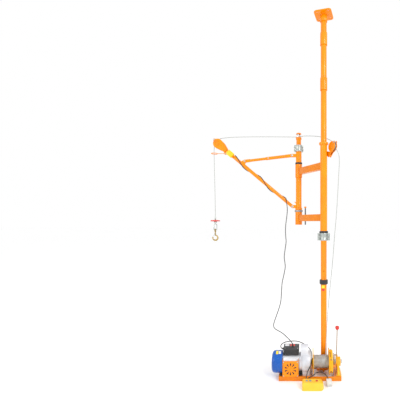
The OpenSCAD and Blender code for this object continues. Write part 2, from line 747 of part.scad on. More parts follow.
module hook_latch() color(zinc) on_hook() {
    cross_pin(latch_pin.x, latch_pin.y, 4, 16);
    for (y = [-7, 5]) flat(y, y + 2) difference() {
        union() {
            translate(latch_pin) circle(d = 8);
            polygon([latch_pin + [-2.5, -3], latch_pin + [3.5, 2],
                [22.5, bowl_z + 11], [20.5, bowl_z + 10]]);
        }
        translate(latch_pin) circle(d = 4);
    }
    flat(-5, 5) polygon([latch_pin + [6.2, -7], latch_pin + [7.6, -5.5],
        [22.5, bowl_z + 11], [20.5, bowl_z + 10]]);
}

// Motor, gearbox and winch

module motor_housing() color("#d5d8da") {
    difference() {
        union() {
            on_shaft(motor_x[0], motor_x[1], motor_r);
            on_shaft(motor_x[0] + 8, motor_x[0] + 14, motor_r + 1);
            on_shaft(motor_x[1] - 14, motor_x[1] - 8, motor_r + 1);
        }
        on_shaft(motor_x[0] + 5, motor_x[1] - 5, motor_r - 7);
        on_shaft(motor_x[0] - 1, motor_x[1] + 1, 10 + run_fit);
    }
    box([box_min.x + 20, winch_y - 18, shaft_z + motor_r - 4], [box_min.x + 104, winch_y + 18, box_min.z]);
}

module motor_feet() color(black) for (x = [[-361, -346], [-208, -184]])
    difference() {
        union() {
            box([x[0], frame_y[0] + 12, rail_h], [x[1], -20, rail_h + 12]);
            box([x[0], winch_y - 48, rail_h + 12], [x[1], winch_y + 48, rail_h + 40]);
        }
        on_shaft(motor_x[0] - 100, motor_x[0] + 2.4, 88.8);
        on_shaft(motor_x[0], 0, 72.4);
        for (y = [frame_y[0] + 24, -32]) translate([(x[0] + x[1]) / 2, y, 0]) bar(9, 20, 90);
    }

module fan_cover() color("#1f6fc4") difference() {
    translate([motor_x[0], winch_y, shaft_z]) rotate([0, -90, 0]) rotate_extrude()
        polygon([
            [88, -2], [88, 58], [85, 70], [78, 79], [68, 84], [12, 85], [12, 82.5],
            [67, 81.5], [76, 76.8], [82.6, 69], [85.5, 58], [85.5, 0.5], [motor_r, 0.5],
            [motor_r, -2]]);
    for (r = [28, 42, 56], a = [0:30:330]) translate([motor_x[0] - 90, winch_y, shaft_z])
        rotate([a, 0, 0]) translate([0, 0, r]) rotate([0, 90, 0]) cylinder(d = 8, h = 12);
}

module petal(a) rotate([0, 0, a]) translate([25, 0]) {
    polygon([[0, -2], [18, -6], [18, 6], [0, 2]]);
    circle(r = 2);
    translate([18, 0]) circle(r = 6);
}

guard_x = [-340, -211];
guard_y = -166;

module fan_guard() color(orange) {
    difference() {
        box([guard_x[0], guard_y, rail_h], [guard_x[1], guard_y + 2.5, shaft_z + 36]);
        translate([(guard_x[0] + guard_x[1]) / 2, guard_y + 5, rail_h + 62]) rotate([90, 0, 0])
            linear_extrude(9) for (a = [18:36:342]) petal(a);
    }
    for (x = [guard_x[0], guard_x[1] - 2.5]) difference() {
        box([x, guard_y + 2.5, rail_h], [x + 2.5, winch_y - motor_r * 0.74, shaft_z + 47]);
        on_shaft(motor_x[0], motor_x[1], motor_r + 1.5);
    }
    box([guard_x[0] + 2.5, guard_y + 2.5, rail_h], [guard_x[1] - 2.5, guard_y + 5 + 20, rail_h + 2.5]);
    for (x = [guard_x[0] + 8, guard_x[1] - 8], z = [rail_h + 9, shaft_z + 27])
        translate([x, guard_y, z]) rotate([90, 0, 0]) cylinder(d = 9, h = 2.5);
}

module rotor() {
    color(zinc) on_shaft(motor_x[0] - 62, gear_x[0] + 40, 10);
    color("#8b8f92") on_shaft(motor_x[0] + 20, motor_x[1] - 20, motor_r - 12);
    color(black) difference() {
        union() {
            on_shaft(motor_x[0] - 60, motor_x[0] - 52, 74);
            on_shaft(motor_x[0] - 60, motor_x[0] - 30, 20);
            for (a = [0:45:315]) translate([motor_x[0] - 52, winch_y, shaft_z])
                rotate([a, 0, 0]) translate([0, -1.5, 26]) cube([22, 3, 44]);
        }
        on_shaft(motor_x[0] - 70, motor_x[0], 10);
    }
}

module control_box() color(black) {
    wall = 3;
    difference() {
        translate(box_min) cube(box_size - [0, 0, 10]);
        translate(box_min + [wall, wall, wall]) cube(box_size - [2 * wall, 2 * wall, 0]);
    }
    translate(box_min + [-2, -2, box_size.z - 10]) cube([box_size.x + 4, box_size.y + 4, 10]);
    translate([box_min.x - 8, -80, box_min.z + 35]) rotate([0, 90, 0]) cylinder(d = 16, h = 9);
    translate([-262, -80, box_min.z + box_size.z]) cylinder(d = 14, h = 3);
}

module gearbox() color("#cfd2d4") difference() {
    union() {
        on_shaft(gear_x[0], gear_x[0] + 26, 72);
        on_shaft(gear_x[0] + 26, gear_x[1] - 6, 86);
        on_shaft(gear_x[1] - 6, gear_x[1], 66);
        translate([gear_x[0] + 12, winch_y, lobe_z]) rotate([0, 90, 0]) cylinder(r = 46, h = 62);
        box([gear_x[0] + 12, winch_y - 46, shaft_z], [gear_x[0] + 74, winch_y + 46, lobe_z]);
        box([-178, winch_y - 62, rail_h], [-122, winch_y + 62, 70]);
        for (a = [15:60:315]) translate([gear_x[1] - 6, winch_y, shaft_z]) rotate([a, 0, 0])
            translate([0, 0, 76]) rotate([0, 90, 0]) cylinder(d = 12, h = 5, $fn = 6);
    }
    on_shaft(gear_x[0] + 6, gear_x[1] - 10, 60);
    on_shaft(gear_x[0] - 1, gear_x[0] + 8, 10 + run_fit);
    on_shaft(gear_x[1] - 12, gear_x[1] + 1, shaft_d / 2 + run_fit);
}

module winch_shaft() color(zinc) {
    on_shaft(gear_x[1] - 30, stand_x[1] + 4, shaft_d / 2);
    on_shaft(gear_x[1] - 48, gear_x[1] - 30, 46);
    translate([stand_x[1] + 4, winch_y, shaft_z]) rotate([0, 90, 0])
        cylinder(d = 34, h = 8, $fn = 6);
}

module drum() color(yellow) {
    for (x = flange_x) ring_on_shaft(x, x + flange_t, flange_r, shaft_d / 2);
    ring_on_shaft(flange_x[0] + flange_t, flange_x[1], barrel_r, barrel_r - 6);
    ring_on_shaft(flange_x[0] - 8, flange_x[0], 26, shaft_d / 2);
}

module rope_winding() color(zinc)
    ring_on_shaft(flange_x[0] + flange_t, flange_x[1], winding_r, barrel_r);

module clutch_drum() color(yellow) difference() {
    union() {
        on_shaft(clutch_x[0], clutch_x[1] - 4, 88);
        for (a = [0:60:300]) translate([clutch_x[0], winch_y, shaft_z]) rotate([a, 0, 0])
            translate([0, 0, 76]) rotate([0, 90, 0]) cylinder(r = 20, h = 22);
        on_shaft(clutch_x[1] - 4, clutch_x[1], 40);
    }
    on_shaft(clutch_x[0] + 12, clutch_x[1] - 10, 68);
    on_shaft(clutch_x[0] - 1, clutch_x[1] + 1, shaft_d / 2);
    for (a = [30:60:330]) translate([clutch_x[0] - 1, winch_y, shaft_z]) rotate([a, 0, 0])
        translate([0, 0, 78]) rotate([0, 90, 0]) cylinder(d = 11, h = 60);
}

module clutch_collar() color("#5a5d60") difference() {
    on_shaft(collar_x[0], collar_x[1], 27);
    on_shaft(collar_x[0] - 1, collar_x[1] + 1, shaft_d / 2 + run_fit);
}

module pedestal() color(yellow) difference() {
    union() {
        translate([stand_x[0] + 14, winch_y, 0]) rotate([90, 0, 90]) linear_extrude(14)
            polygon([[-66, rail_h + 10], [66, rail_h + 10], [36, shaft_z], [-36, shaft_z]]);
        box([stand_x[0] + 2, winch_y - 68, rail_h], [stand_x[1], winch_y + 62, rail_h + 10]);
        on_shaft(stand_x[0] + 4, stand_x[1] - 2, 36);
        for (y = [-13, 8]) translate([stand_x[0] + 5, winch_y + y, shaft_z + 20])
            cube([12, 5, 36]);
    }
    on_shaft(stand_x[0], stand_x[1] + 1, shaft_d / 2 + run_fit);
    translate([stand_x[0] + 11, winch_y + 20, lever_z]) rotate([90, 0, 0]) cylinder(d = 8, h = 40);
    for (x = [stand_x[0] + 8, stand_x[1] - 8], y = [-56, 52]) translate([x, winch_y + y, 0])
        bar(9, 20, 60);
}

// Lever with a fork that straddles the collar; its pivot turns in the pedestal
module clutch_lever() {
    px = stand_x[0] + 11;
    prong_y = 28;
    color(zinc) {
        translate([px, winch_y + 15, lever_z]) rotate([90, 0, 0])
            cylinder(d = 8 - 2 * run_fit, h = 30);
        translate([px, winch_y + 7.5, lever_z]) rotate([90, 0, 0]) cylinder(d = 18, h = 15);
        translate([px, winch_y, lever_z + 8]) rotate([0, 1.5, 0]) cylinder(d = 9, h = 210);
        box([collar_x[0] + 1, winch_y - 6, lever_z + 1], [px - 6, winch_y + 6, lever_z + 7]);
        box([collar_x[0] + 1, winch_y - prong_y - 5, lever_z - 4],
            [collar_x[0] + 7, winch_y + prong_y + 5, lever_z + 7]);
        for (y = [-prong_y - 5, prong_y]) box([collar_x[0] + 1, winch_y + y, shaft_z - 8],
            [collar_x[0] + 7, winch_y + y + 5, lever_z + 7]);
    }
    color("#d8261c") translate([px + 6, winch_y, lever_z + 228]) sphere(d = 33);
}

// Pendant, plug and cables

// Handset outlines: from above, and from the front with a round nose
module pendant_plan() {
    translate([12, 0]) square([pendant_size.x - 30, pendant_size.y]);
    translate([0, 12]) square([12, pendant_size.y - 24]);
    for (y = [12, pendant_size.y - 12]) translate([12, y]) circle(r = 12);
    polygon([
        [pendant_size.x - 18, 0], [pendant_size.x, 16],
        [pendant_size.x, pendant_size.y - 16], [pendant_size.x - 18, pendant_size.y]]);
}

module pendant_front() {
    nose = 32;
    translate([pendant_size.x - nose, pendant_size.z - nose]) circle(r = nose);
    translate([pendant_size.x - 14, 14]) circle(r = 14);
    translate([14, pendant_size.z - 14]) circle(r = 14);
    square([14, pendant_size.z - 14]);
    translate([14, 0]) square([pendant_size.x - nose - 14, pendant_size.z]);
    square([pendant_size.x - 14, pendant_size.z - nose]);
    translate([0, 14]) square([pendant_size.x, pendant_size.z - nose - 14]);
}

module pendant() color("#f6c52c") difference() {
    union() {
        translate(pendant_min) intersection() {
            linear_extrude(pendant_size.z) pendant_plan();
            translate([0, pendant_size.y + 1, 0]) rotate([90, 0, 0])
                linear_extrude(pendant_size.y + 2) pendant_front();
        }
        for (x = [-147, -128]) translate([x, pendant_min.y + pendant_size.y, 47])
            rotate([-90, 0, 0]) translate([0, 0, -4]) cylinder(d = 14, h = 20);
    }
    for (x = button_x) translate([x, pendant_min.y + 38, 0]) bar(20, pendant_size.z - 14, 90);
}

button_x = [-144, -117, -67];
module button(i, tint) color(tint) translate([button_x[i], pendant_min.y + 38, 0]) {
    bar(19.2, pendant_size.z - 8, pendant_size.z + 1);
    bar(15, pendant_size.z + 1, pendant_size.z + 4);
}
module up_button() button(0, "#8f9497");
module down_button() button(1, "#8f9497");
module stop_button() button(2, "#d8261c");

module hanging_cable() color(black) cord(hanging_route, cable_d);
module lower_cable() color(black) cord(lower_route, cable_d);
module pendant_cable() color(black) cord(pendant_route, cable_d);
module plug_cable() color(black) cord(plug_route, cable_d);

module mains_plug() color("#eceae4") translate([26, -196, 34.2])
    rotate([0, 0, plug_turn]) rotate([plug_tilt, 0, 0]) {
        rotate([90, 0, 0]) cylinder(d = 12, h = 16);
        translate([-20, -60, -19]) cube([40, 46, 38]);
        for (x = [-9, 9]) translate([x - 1, -78, -4]) cube([2, 19, 8]);
    }

base_frame();
mast_foot();
mast_tubes();
couplers();
mast_rings();
mast_clamp();
ceiling_plate();
swing_sleeve();
swing_bearings();
swing_links();
post_sleeves();
tail_bracket();
tail_axle();
tail_sheave();
lock_pin();
boom_post();
post_clamp();
guide_head();
front_roller();
back_roller();
strut_outer();
strut_inner();
boom_tube();
head_plates();
head_axle();
head_sheave();
limit_switch();
limit_arm();
boom_cable();
rope_riser();
rope_back();
rope_boom();
rope_drop();
stop_disc();
rope_thimble();
hook();
hook_latch();
motor_housing();
motor_feet();
fan_cover();
fan_guard();
rotor();
control_box();
gearbox();
winch_shaft();
drum();
rope_winding();
clutch_drum();
clutch_collar();
pedestal();
clutch_lever();
pendant();
up_button();
down_button();
stop_button();
hanging_cable();
lower_cable();
pendant_cable();
plug_cable();
mains_plug();
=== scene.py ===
"""Floor-to-ceiling hoist: cords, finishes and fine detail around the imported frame.

Everything is in metres. The mast stands on the origin, +X is to the right, +Y to the back.
"""
import json
import math

import bmesh
import bpy
from mathutils import Matrix, Quaternion, Vector


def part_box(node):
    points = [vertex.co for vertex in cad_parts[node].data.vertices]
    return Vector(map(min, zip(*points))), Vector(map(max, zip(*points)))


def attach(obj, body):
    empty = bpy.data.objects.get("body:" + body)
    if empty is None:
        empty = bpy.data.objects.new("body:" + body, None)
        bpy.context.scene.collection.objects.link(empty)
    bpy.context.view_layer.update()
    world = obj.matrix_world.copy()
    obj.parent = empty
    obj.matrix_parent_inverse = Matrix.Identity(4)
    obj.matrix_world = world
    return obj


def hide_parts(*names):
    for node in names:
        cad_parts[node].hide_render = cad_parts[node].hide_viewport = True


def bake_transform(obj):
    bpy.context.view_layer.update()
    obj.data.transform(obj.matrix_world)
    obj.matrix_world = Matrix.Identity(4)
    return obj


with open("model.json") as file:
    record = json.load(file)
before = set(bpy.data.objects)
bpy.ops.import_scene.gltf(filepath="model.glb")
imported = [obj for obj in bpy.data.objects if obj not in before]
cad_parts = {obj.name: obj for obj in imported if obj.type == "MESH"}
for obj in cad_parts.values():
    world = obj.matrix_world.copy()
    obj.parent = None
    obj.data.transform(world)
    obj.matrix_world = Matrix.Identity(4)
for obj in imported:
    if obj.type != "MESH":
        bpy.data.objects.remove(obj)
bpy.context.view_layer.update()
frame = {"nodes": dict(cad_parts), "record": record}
scene = bpy.context.scene
FULL_TURN = 2 * math.pi

# ---------------------------------------------------------------- camera

CAMERA_PLACE = (-0.1346, -2.674, 1.281)
camera = bpy.data.objects.new("camera", bpy.data.cameras.new("camera"))
scene.collection.objects.link(camera)
camera.location = CAMERA_PLACE
camera.rotation_euler = (math.radians(90), 0, 0)
camera.data.sensor_width = 36
camera.data.lens = 28.08
camera.data.shift_x = -0.27
camera.data.shift_y = 0.0555
camera.data.clip_end = 60
scene.camera = camera

# ---------------------------------------------------------------- places in the frame

LINK_TURN = math.radians(125)                 # direction of the two links in plan
LINK_LEN = 0.390
POST_X = LINK_LEN * math.cos(LINK_TURN)
POST_Y = LINK_LEN * math.sin(LINK_TURN)
FOOT_U, FOOT_Z = 0.060, 1.431                 # boom's foot pivot from the post's axis
BOOM_TILT = math.atan2(0.602, 0.712)
BOOM_LEN = math.hypot(0.602, 0.712)
WINCH_Y, SHAFT_Z = -0.085, 0.128              # line of the winch shaft


def on_post(u, v, z):
    """A point from the post's own frame: u outward along the boom, v to the front."""
    return Vector((POST_X - u, POST_Y - v, z))


def on_boom(along, side, across):
    """A point from the boom's own frame, along its tilted axis from the foot pivot."""
    c, s = math.cos(BOOM_TILT), math.sin(BOOM_TILT)
    return on_post(FOOT_U + along * c - across * s, side, FOOT_Z + along * s + across * c)


def on_links(along, side, z):
    """A point from the swing frame: along the links from the mast's axis."""
    c, s = math.cos(LINK_TURN), math.sin(LINK_TURN)
    return Vector((along * c - side * s, along * s + side * c, z))


HEAD = on_boom(BOOM_LEN, 0, 0)

# ---------------------------------------------------------------- finishes


def wire(tree, source, socket, target, name):
    tree.links.new(source.outputs[socket], target.inputs[name])


def finish(name, tint, shade, mottle=5, metallic=0.0, rough=(0.3, 0.4), coat=0.0,
           grain=(400, 0.05), stretch=(1, 1, 1), edge_wear_and_hollow_shade=None, sheen=0.0, gleam=0.5):
    """A procedural finish: two mottled tints, uneven gloss, a grain in relief, worn edges where the edge
    range rises, and painted shade in the hollows where it falls.
    """
    material = bpy.data.materials.new(name)
    material.use_nodes = True
    tree = material.node_tree
    shader = tree.nodes["Principled BSDF"]
    shader.inputs["Metallic"].default_value = metallic
    shader.inputs["Coat Weight"].default_value = coat
    shader.inputs["Coat Roughness"].default_value = 0.08
    shader.inputs["Sheen Weight"].default_value = sheen
    shader.inputs["Specular IOR Level"].default_value = gleam
    place = tree.nodes.new("ShaderNodeTexCoord")
    turn = tree.nodes.new("ShaderNodeMapping")
    turn.inputs["Scale"].default_value = stretch
    wire(tree, place, "Object", turn, "Vector")

    def noise(scale, detail):
        node = tree.nodes.new("ShaderNodeTexNoise")
        node.inputs["Scale"].default_value = scale
        node.inputs["Detail"].default_value = detail
        wire(tree, turn, "Vector", node, "Vector")
        return node

    blotch = noise(mottle, 4)
    tone = tree.nodes.new("ShaderNodeValToRGB")
    tone.color_ramp.elements[0].position = 0.35
    tone.color_ramp.elements[0].color = (*shade, 1)
    tone.color_ramp.elements[1].position = 0.65
    tone.color_ramp.elements[1].color = (*tint, 1)
    wire(tree, blotch, "Fac", tone, "Fac")
    gloss = tree.nodes.new("ShaderNodeMapRange")
    gloss.inputs["From Min"].default_value = 0.3
    gloss.inputs["From Max"].default_value = 0.7
    gloss.inputs["To Min"].default_value = rough[0]
    gloss.inputs["To Max"].default_value = rough[1]
    wire(tree, noise(mottle * 7, 6), "Fac", gloss, "Value")
    wire(tree, gloss, "Result", shader, "Roughness")
    relief = tree.nodes.new("ShaderNodeBump")
    relief.inputs["Strength"].default_value = grain[1]
    relief.inputs["Distance"].default_value = 0.001
    wire(tree, noise(grain[0], 3), "Fac", relief, "Height")
    wire(tree, relief, "Normal", shader, "Normal")
    # Pointiness mask: a rising range picks convex edges for real wear, a falling range picks hollows and
    # paints shade into them.
    if edge_wear_and_hollow_shade is not None:
        worn_and_shade_colour, low, high = edge_wear_and_hollow_shade
        edges = tree.nodes.new("ShaderNodeNewGeometry")
        edge_and_hollow_mask = tree.nodes.new("ShaderNodeMapRange")
        edge_and_hollow_mask.inputs["From Min"].default_value = low
        edge_and_hollow_mask.inputs["From Max"].default_value = high
        wire(tree, edges, "Pointiness", edge_and_hollow_mask, "Value")
        patch = tree.nodes.new("ShaderNodeMath")
        patch.operation = "MULTIPLY"
        wire(tree, edge_and_hollow_mask, "Result", patch, 0)
        wire(tree, noise(60, 5), "Fac", patch, 1)
        mix = tree.nodes.new("ShaderNodeMix")
        mix.data_type = "RGBA"
        tree.links.new(patch.outputs[0], mix.inputs[0])
        tree.links.new(tone.outputs["Color"], mix.inputs[6])
        mix.inputs[7].default_value = (*worn_and_shade_colour, 1)
        tree.links.new(mix.outputs[2], shader.inputs["Base Color"])
    else:
        wire(tree, tone, "Color", shader, "Base Color")
    return material


PRIMER = (0.42, 0.10, 0.01)
ORANGE = finish("orange_enamel", (0.90, 0.275, 0.0), (0.83, 0.235, 0.0), mottle=7, rough=(0.2, 0.3),
                coat=0.12, grain=(260, 0.04), edge_wear_and_hollow_shade=(PRIMER, 0.53, 0.62), gleam=0.28)
YELLOW = finish("winch_yellow", (0.90, 0.45, 0.002), (0.82, 0.37, 0.001), mottle=9, rough=(0.28, 0.42),
                coat=0.1, grain=(220, 0.07), edge_wear_and_hollow_shade=((0.35, 0.17, 0.02), 0.53, 0.62), gleam=0.3)
# The reversed edge range on zinc darkens its hollows: painted shade.
ZINC = finish("zinc_plate", (0.52, 0.55, 0.52), (0.38, 0.41, 0.39), mottle=26, metallic=0.75,
              rough=(0.28, 0.46), grain=(180, 0.12), edge_wear_and_hollow_shade=((0.30, 0.29, 0.26), 0.47, 0.40))
PIN_STEEL = finish("pin_steel", (0.70, 0.72, 0.72), (0.55, 0.57, 0.58), mottle=40, metallic=0.9,
                   rough=(0.25, 0.4), grain=(600, 0.08), stretch=(1, 8, 1))
DARK_STEEL = finish("oiled_steel", (0.20, 0.205, 0.21), (0.12, 0.12, 0.125), mottle=30, metallic=0.85,
                    rough=(0.35, 0.55), grain=(350, 0.1))
BRONZE = finish("bronze_bush", (0.52, 0.34, 0.13), (0.38, 0.24, 0.09), mottle=35, metallic=0.85,
                rough=(0.35, 0.5), grain=(300, 0.1))
RING_GREY = finish("bearing_grey", (0.34, 0.35, 0.36), (0.24, 0.25, 0.26), mottle=30, metallic=0.6,
                   rough=(0.35, 0.5), grain=(300, 0.08))
RUBBER = finish("black_rubber", (0.025, 0.026, 0.028), (0.014, 0.014, 0.015), mottle=30,
                rough=(0.55, 0.75), grain=(500, 0.15), sheen=0.15)
MOULDED = finish("black_moulding", (0.030, 0.031, 0.033), (0.020, 0.020, 0.022), mottle=20,
                 rough=(0.4, 0.55), grain=(900, 0.12))
FEET = finish("black_castings", (0.024, 0.025, 0.028), (0.014, 0.014, 0.016), mottle=18,
              rough=(0.4, 0.6), grain=(240, 0.2))
# The reversed edge range on cast alloy darkens its hollows: painted shade.
CAST = finish("cast_alloy", (0.70, 0.71, 0.74), (0.54, 0.55, 0.59), mottle=14, metallic=0.35,
              rough=(0.38, 0.52), grain=(320, 0.25), edge_wear_and_hollow_shade=((0.35, 0.34, 0.33), 0.47, 0.41))
MOTOR_SILVER = finish("motor_silver", (0.74, 0.75, 0.77), (0.62, 0.63, 0.66), mottle=10, metallic=0.3,
                      rough=(0.3, 0.42), coat=0.1, grain=(500, 0.08))
BLUE = finish("fan_blue", (0.001, 0.10, 0.46), (0.001, 0.075, 0.36), mottle=8, rough=(0.2, 0.32),
              coat=0.15, gleam=0.35, grain=(240, 0.05), edge_wear_and_hollow_shade=((0.10, 0.16, 0.28), 0.53, 0.62))
RED = finish("red_gloss", (0.62, 0.022, 0.012), (0.52, 0.016, 0.010), mottle=20, rough=(0.22, 0.34),
             coat=0.3, grain=(300, 0.05), edge_wear_and_hollow_shade=((0.25, 0.03, 0.02), 0.53, 0.62))
HOOK_GOLD = finish("yellow_zinc", (0.52, 0.37, 0.12), (0.34, 0.25, 0.11), mottle=45, metallic=0.85,
                   rough=(0.3, 0.5), grain=(220, 0.18))
ROPE = finish("wire_rope", (0.42, 0.44, 0.41), (0.32, 0.34, 0.31), mottle=60, metallic=0.3,
              rough=(0.4, 0.55), grain=(1500, 0.25))
# The rope on the drum gets a lighter, more metallic copy of the rope's colour: painted light.
ROPE_LIT_COPY = finish("wound_rope", (0.66, 0.67, 0.66), (0.44, 0.45, 0.45), mottle=34, metallic=0.45,
               rough=(0.35, 0.5), grain=(1500, 0.3))
LEAD = finish("cable_sheath", (0.030, 0.031, 0.030), (0.020, 0.020, 0.020), mottle=18,
              rough=(0.42, 0.58), grain=(700, 0.08), sheen=0.1)
GREY_CAP = finish("grey_caps", (0.30, 0.32, 0.34), (0.24, 0.26, 0.28), mottle=30,
                  rough=(0.35, 0.5), grain=(700, 0.06))
HANDSET = finish("handset_yellow", (0.93, 0.56, 0.035), (0.88, 0.50, 0.025), mottle=12,
                 rough=(0.32, 0.45), coat=0.1, grain=(800, 0.08))
SWITCH = finish("switch_yellow", (0.95, 0.58, 0.01), (0.90, 0.50, 0.008), mottle=20,
                rough=(0.25, 0.36), coat=0.2, grain=(600, 0.06))
WHITE = finish("plug_white", (0.66, 0.66, 0.64), (0.58, 0.58, 0.56), mottle=14,
               rough=(0.3, 0.42), coat=0.1, grain=(700, 0.05))
PAPER = finish("label_white", (0.82, 0.82, 0.84), (0.74, 0.74, 0.77), mottle=40,
               rough=(0.4, 0.5), grain=(900, 0.04))
PAPER_YELLOW = finish("label_yellow", (0.92, 0.72, 0.03), (0.86, 0.64, 0.02), mottle=40,
                      rough=(0.4, 0.5), grain=(900, 0.04))
PAPER_RED = finish("label_red", (0.68, 0.05, 0.03), (0.60, 0.035, 0.02), mottle=40,
                   rough=(0.4, 0.5), grain=(900, 0.04))
LEVER_STEEL = finish("lever_rod", (0.40, 0.31, 0.23), (0.34, 0.22, 0.12), mottle=12, metallic=0.45,
                     rough=(0.35, 0.5), grain=(500, 0.1), stretch=(1, 1, 0.1))

# ---------------------------------------------------------------- making pieces


def piece(name, bm, material, body, replaces=(), smooth=40):
    """Turns a bmesh into a piece of the object, shaded smooth across gentle edges."""
    mesh = bpy.data.meshes.new(name)
    bm.to_mesh(mesh)
    bm.free()
    mesh.shade_smooth()
    mesh.set_sharp_from_angle(angle=math.radians(smooth))
    for m in material if isinstance(material, list) else [material]:
        mesh.materials.append(m)
    made = bpy.data.objects.new(name, mesh)
    scene.collection.objects.link(made)
    if body is not None:
        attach(made, body)
    if replaces:
        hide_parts(*replaces)
    return made


BODIES = {node: body for body, nodes in frame["record"]["behaviour"]["bodies"].items()
          for node in nodes}


def dress(node, finishes, soften=0.0012, choose=None, name=None, crease=33):
    """Replaces a CAD node by a copy of it with rounded edges, and one or more finishes.

    choose(face centre, reach) gives the number of the finish for a face; reach is its half width.
    """
    bm = bmesh.new()
    bm.from_mesh(frame["nodes"][node].data)
    bmesh.ops.remove_doubles(bm, verts=bm.verts, dist=0.00002)
    bmesh.ops.dissolve_limit(bm, angle_limit=math.radians(0.6), verts=bm.verts, edges=bm.edges)
    finishes = finishes if isinstance(finishes, list) else [finishes]
    if choose:
        for face in bm.faces:
            middle = face.calc_center_median()
            face.material_index = choose(middle, max((v.co - middle).length for v in face.verts))
    if soften:
        sharp = [e for e in bm.edges if e.is_manifold and e.calc_face_angle(0) > math.radians(crease)]
        bmesh.ops.bevel(bm, geom=sharp, offset=soften, offset_type="OFFSET", segments=2,
                        profile=0.5, affect="EDGES", clamp_overlap=True, material=-1)
    return piece(name or node + "_finished", bm, finishes, BODIES[node], [node])


def block(low, high, round_edges=0.001, segments=2):
    """A bmesh box between two corners with rounded edges."""
    bm = bmesh.new()
    low, high = Vector(low), Vector(high)
    size = high - low
    bmesh.ops.create_cube(bm, size=1, matrix=Matrix.Translation((low + high) / 2)
                          @ Matrix.Diagonal((*size, 1)))
    if round_edges:
        bmesh.ops.bevel(bm, geom=bm.edges[:], offset=round_edges, offset_type="OFFSET",
                        segments=segments, profile=0.5, affect="EDGES", material=-1)
    return bm


def aim(axis):
    """The rotation that turns +Z to an axis."""
    return Vector((0, 0, 1)).rotation_difference(Vector(axis)).to_matrix().to_4x4()


def turned(outline, place=(0, 0, 0), axis=(0, 0, 1), steps=48, bm=None):
    """A solid of revolution: an outline of (radius, height) spun about its axis."""
    bm = bm or bmesh.new()
    corners = [bm.verts.new((r, 0, h)) for r, h in outline]
    edges = [bm.edges.new(pair) for pair in zip(corners, corners[1:])]
    bmesh.ops.spin(bm, geom=corners + edges, cent=(0, 0, 0), axis=(0, 0, 1),
                   angle=FULL_TURN, steps=steps, use_merge=True, use_duplicate=False)
    spun = {v for f in bm.faces for v in f.verts if not f.tag}
    bmesh.ops.remove_doubles(bm, verts=list(spun), dist=0.00001)
    fresh = [v for f in bm.faces if not f.tag for v in f.verts]
    bmesh.ops.transform(bm, matrix=Matrix.Translation(place) @ aim(axis), verts=list(set(fresh)))
    bmesh.ops.recalc_face_normals(bm, faces=[f for f in bm.faces if not f.tag])
    for face in bm.faces:
        face.tag = True
    return bm


def hexagon(bm, place, axis, across, height):
    """A hexagon head or nut with chamfered corners, added to bm."""
    corner = across / 2 / math.cos(math.pi / 6)
    made = bmesh.ops.create_cone(bm, cap_ends=True, segments=6, radius1=corner, radius2=corner,
                                 depth=height)
    verts = made["verts"]
    edges = {e for v in verts for e in v.link_edges}
    bevelled = bmesh.ops.bevel(bm, geom=list(edges), offset=height * 0.12, offset_type="OFFSET",
                               segments=2, profile=0.5, affect="EDGES", material=-1)
    everything = {v for f in bevelled["faces"] for v in f.verts}
    everything |= {v for v in verts if v.is_valid}
    place = Matrix.Translation(Vector(place) + Vector(axis).normalized() * height / 2) @ aim(axis)
    bmesh.ops.transform(bm, matrix=place, verts=list(everything))
    for face in bm.faces:
        face.tag = True
    return bm


def smooth_path(points, step):
    """Points every step or so on a smooth curve through the given ones."""
    p = [Vector(q) for q in points]
    reach = [0.0]
    for a, b in zip(p, p[1:]):
        reach.append(reach[-1] + (b - a).length)
    last = len(p) - 1
    slope = [(p[min(i + 1, last)] - p[max(i - 1, 0)]) / (reach[min(i + 1, last)] - reach[max(i - 1, 0)])
             for i in range(len(p))]
    path = []
    for i in range(last):
        span = reach[i + 1] - reach[i]
        count = max(1, round(span / step))
        for k in range(count):
            t = k / count
            path.append((2 * t**3 - 3 * t**2 + 1) * p[i] + (t**3 - 2 * t**2 + t) * span * slope[i]
                        + (3 * t**2 - 2 * t**3) * p[i + 1] + (t**3 - t**2) * span * slope[i + 1])
    return path + [p[-1]]


def swept(path, radius, sides=12, strands=False, lay=0.032, bm=None):
    """A tube along a path; with strands its section is lobed and turns once every lay."""
    bm = bm or bmesh.new()
    width = radius if callable(radius) else lambda f: radius
    last = len(path) - 1
    tangents = [(path[min(i + 1, last)] - path[max(i - 1, 0)]).normalized() for i in range(last + 1)]
    turn = Vector((0, 0, 1)).rotation_difference(tangents[0])
    ring = bmesh.ops.create_circle(bm, segments=sides, radius=1.0, cap_ends=False)["verts"]
    if strands:
        for i, v in enumerate(ring):
            v.co *= 1.0 if i % 2 else 0.9
    edges = list({e for v in ring for e in v.link_edges})
    start = edges

    def placed(i, q):
        r = width(i / last)
        return Matrix.LocRotScale(path[i], q, Vector((r, r, r)))

    now = placed(0, turn)
    bmesh.ops.transform(bm, matrix=now, verts=ring)
    twist = 0.0
    for i in range(1, last + 1):
        turn = tangents[i - 1].rotation_difference(tangents[i]) @ turn
        if strands:
            twist += (path[i] - path[i - 1]).length / lay * FULL_TURN
        after = placed(i, turn @ Quaternion((0, 0, 1), twist))
        grown = bmesh.ops.extrude_edge_only(bm, edges=edges)["geom"]
        verts = [g for g in grown if isinstance(g, bmesh.types.BMVert)]
        edges = [g for g in grown if isinstance(g, bmesh.types.BMEdge)]
        bmesh.ops.transform(bm, matrix=after @ now.inverted(), verts=verts)
        now = after
    bmesh.ops.contextual_create(bm, geom=start)
    bmesh.ops.contextual_create(bm, geom=edges)
    bmesh.ops.recalc_face_normals(bm, faces=bm.faces)
    return bm


# ---------------------------------------------------------------- ropes and leads

ROPE_D, LEAD_D = 0.005, 0.007

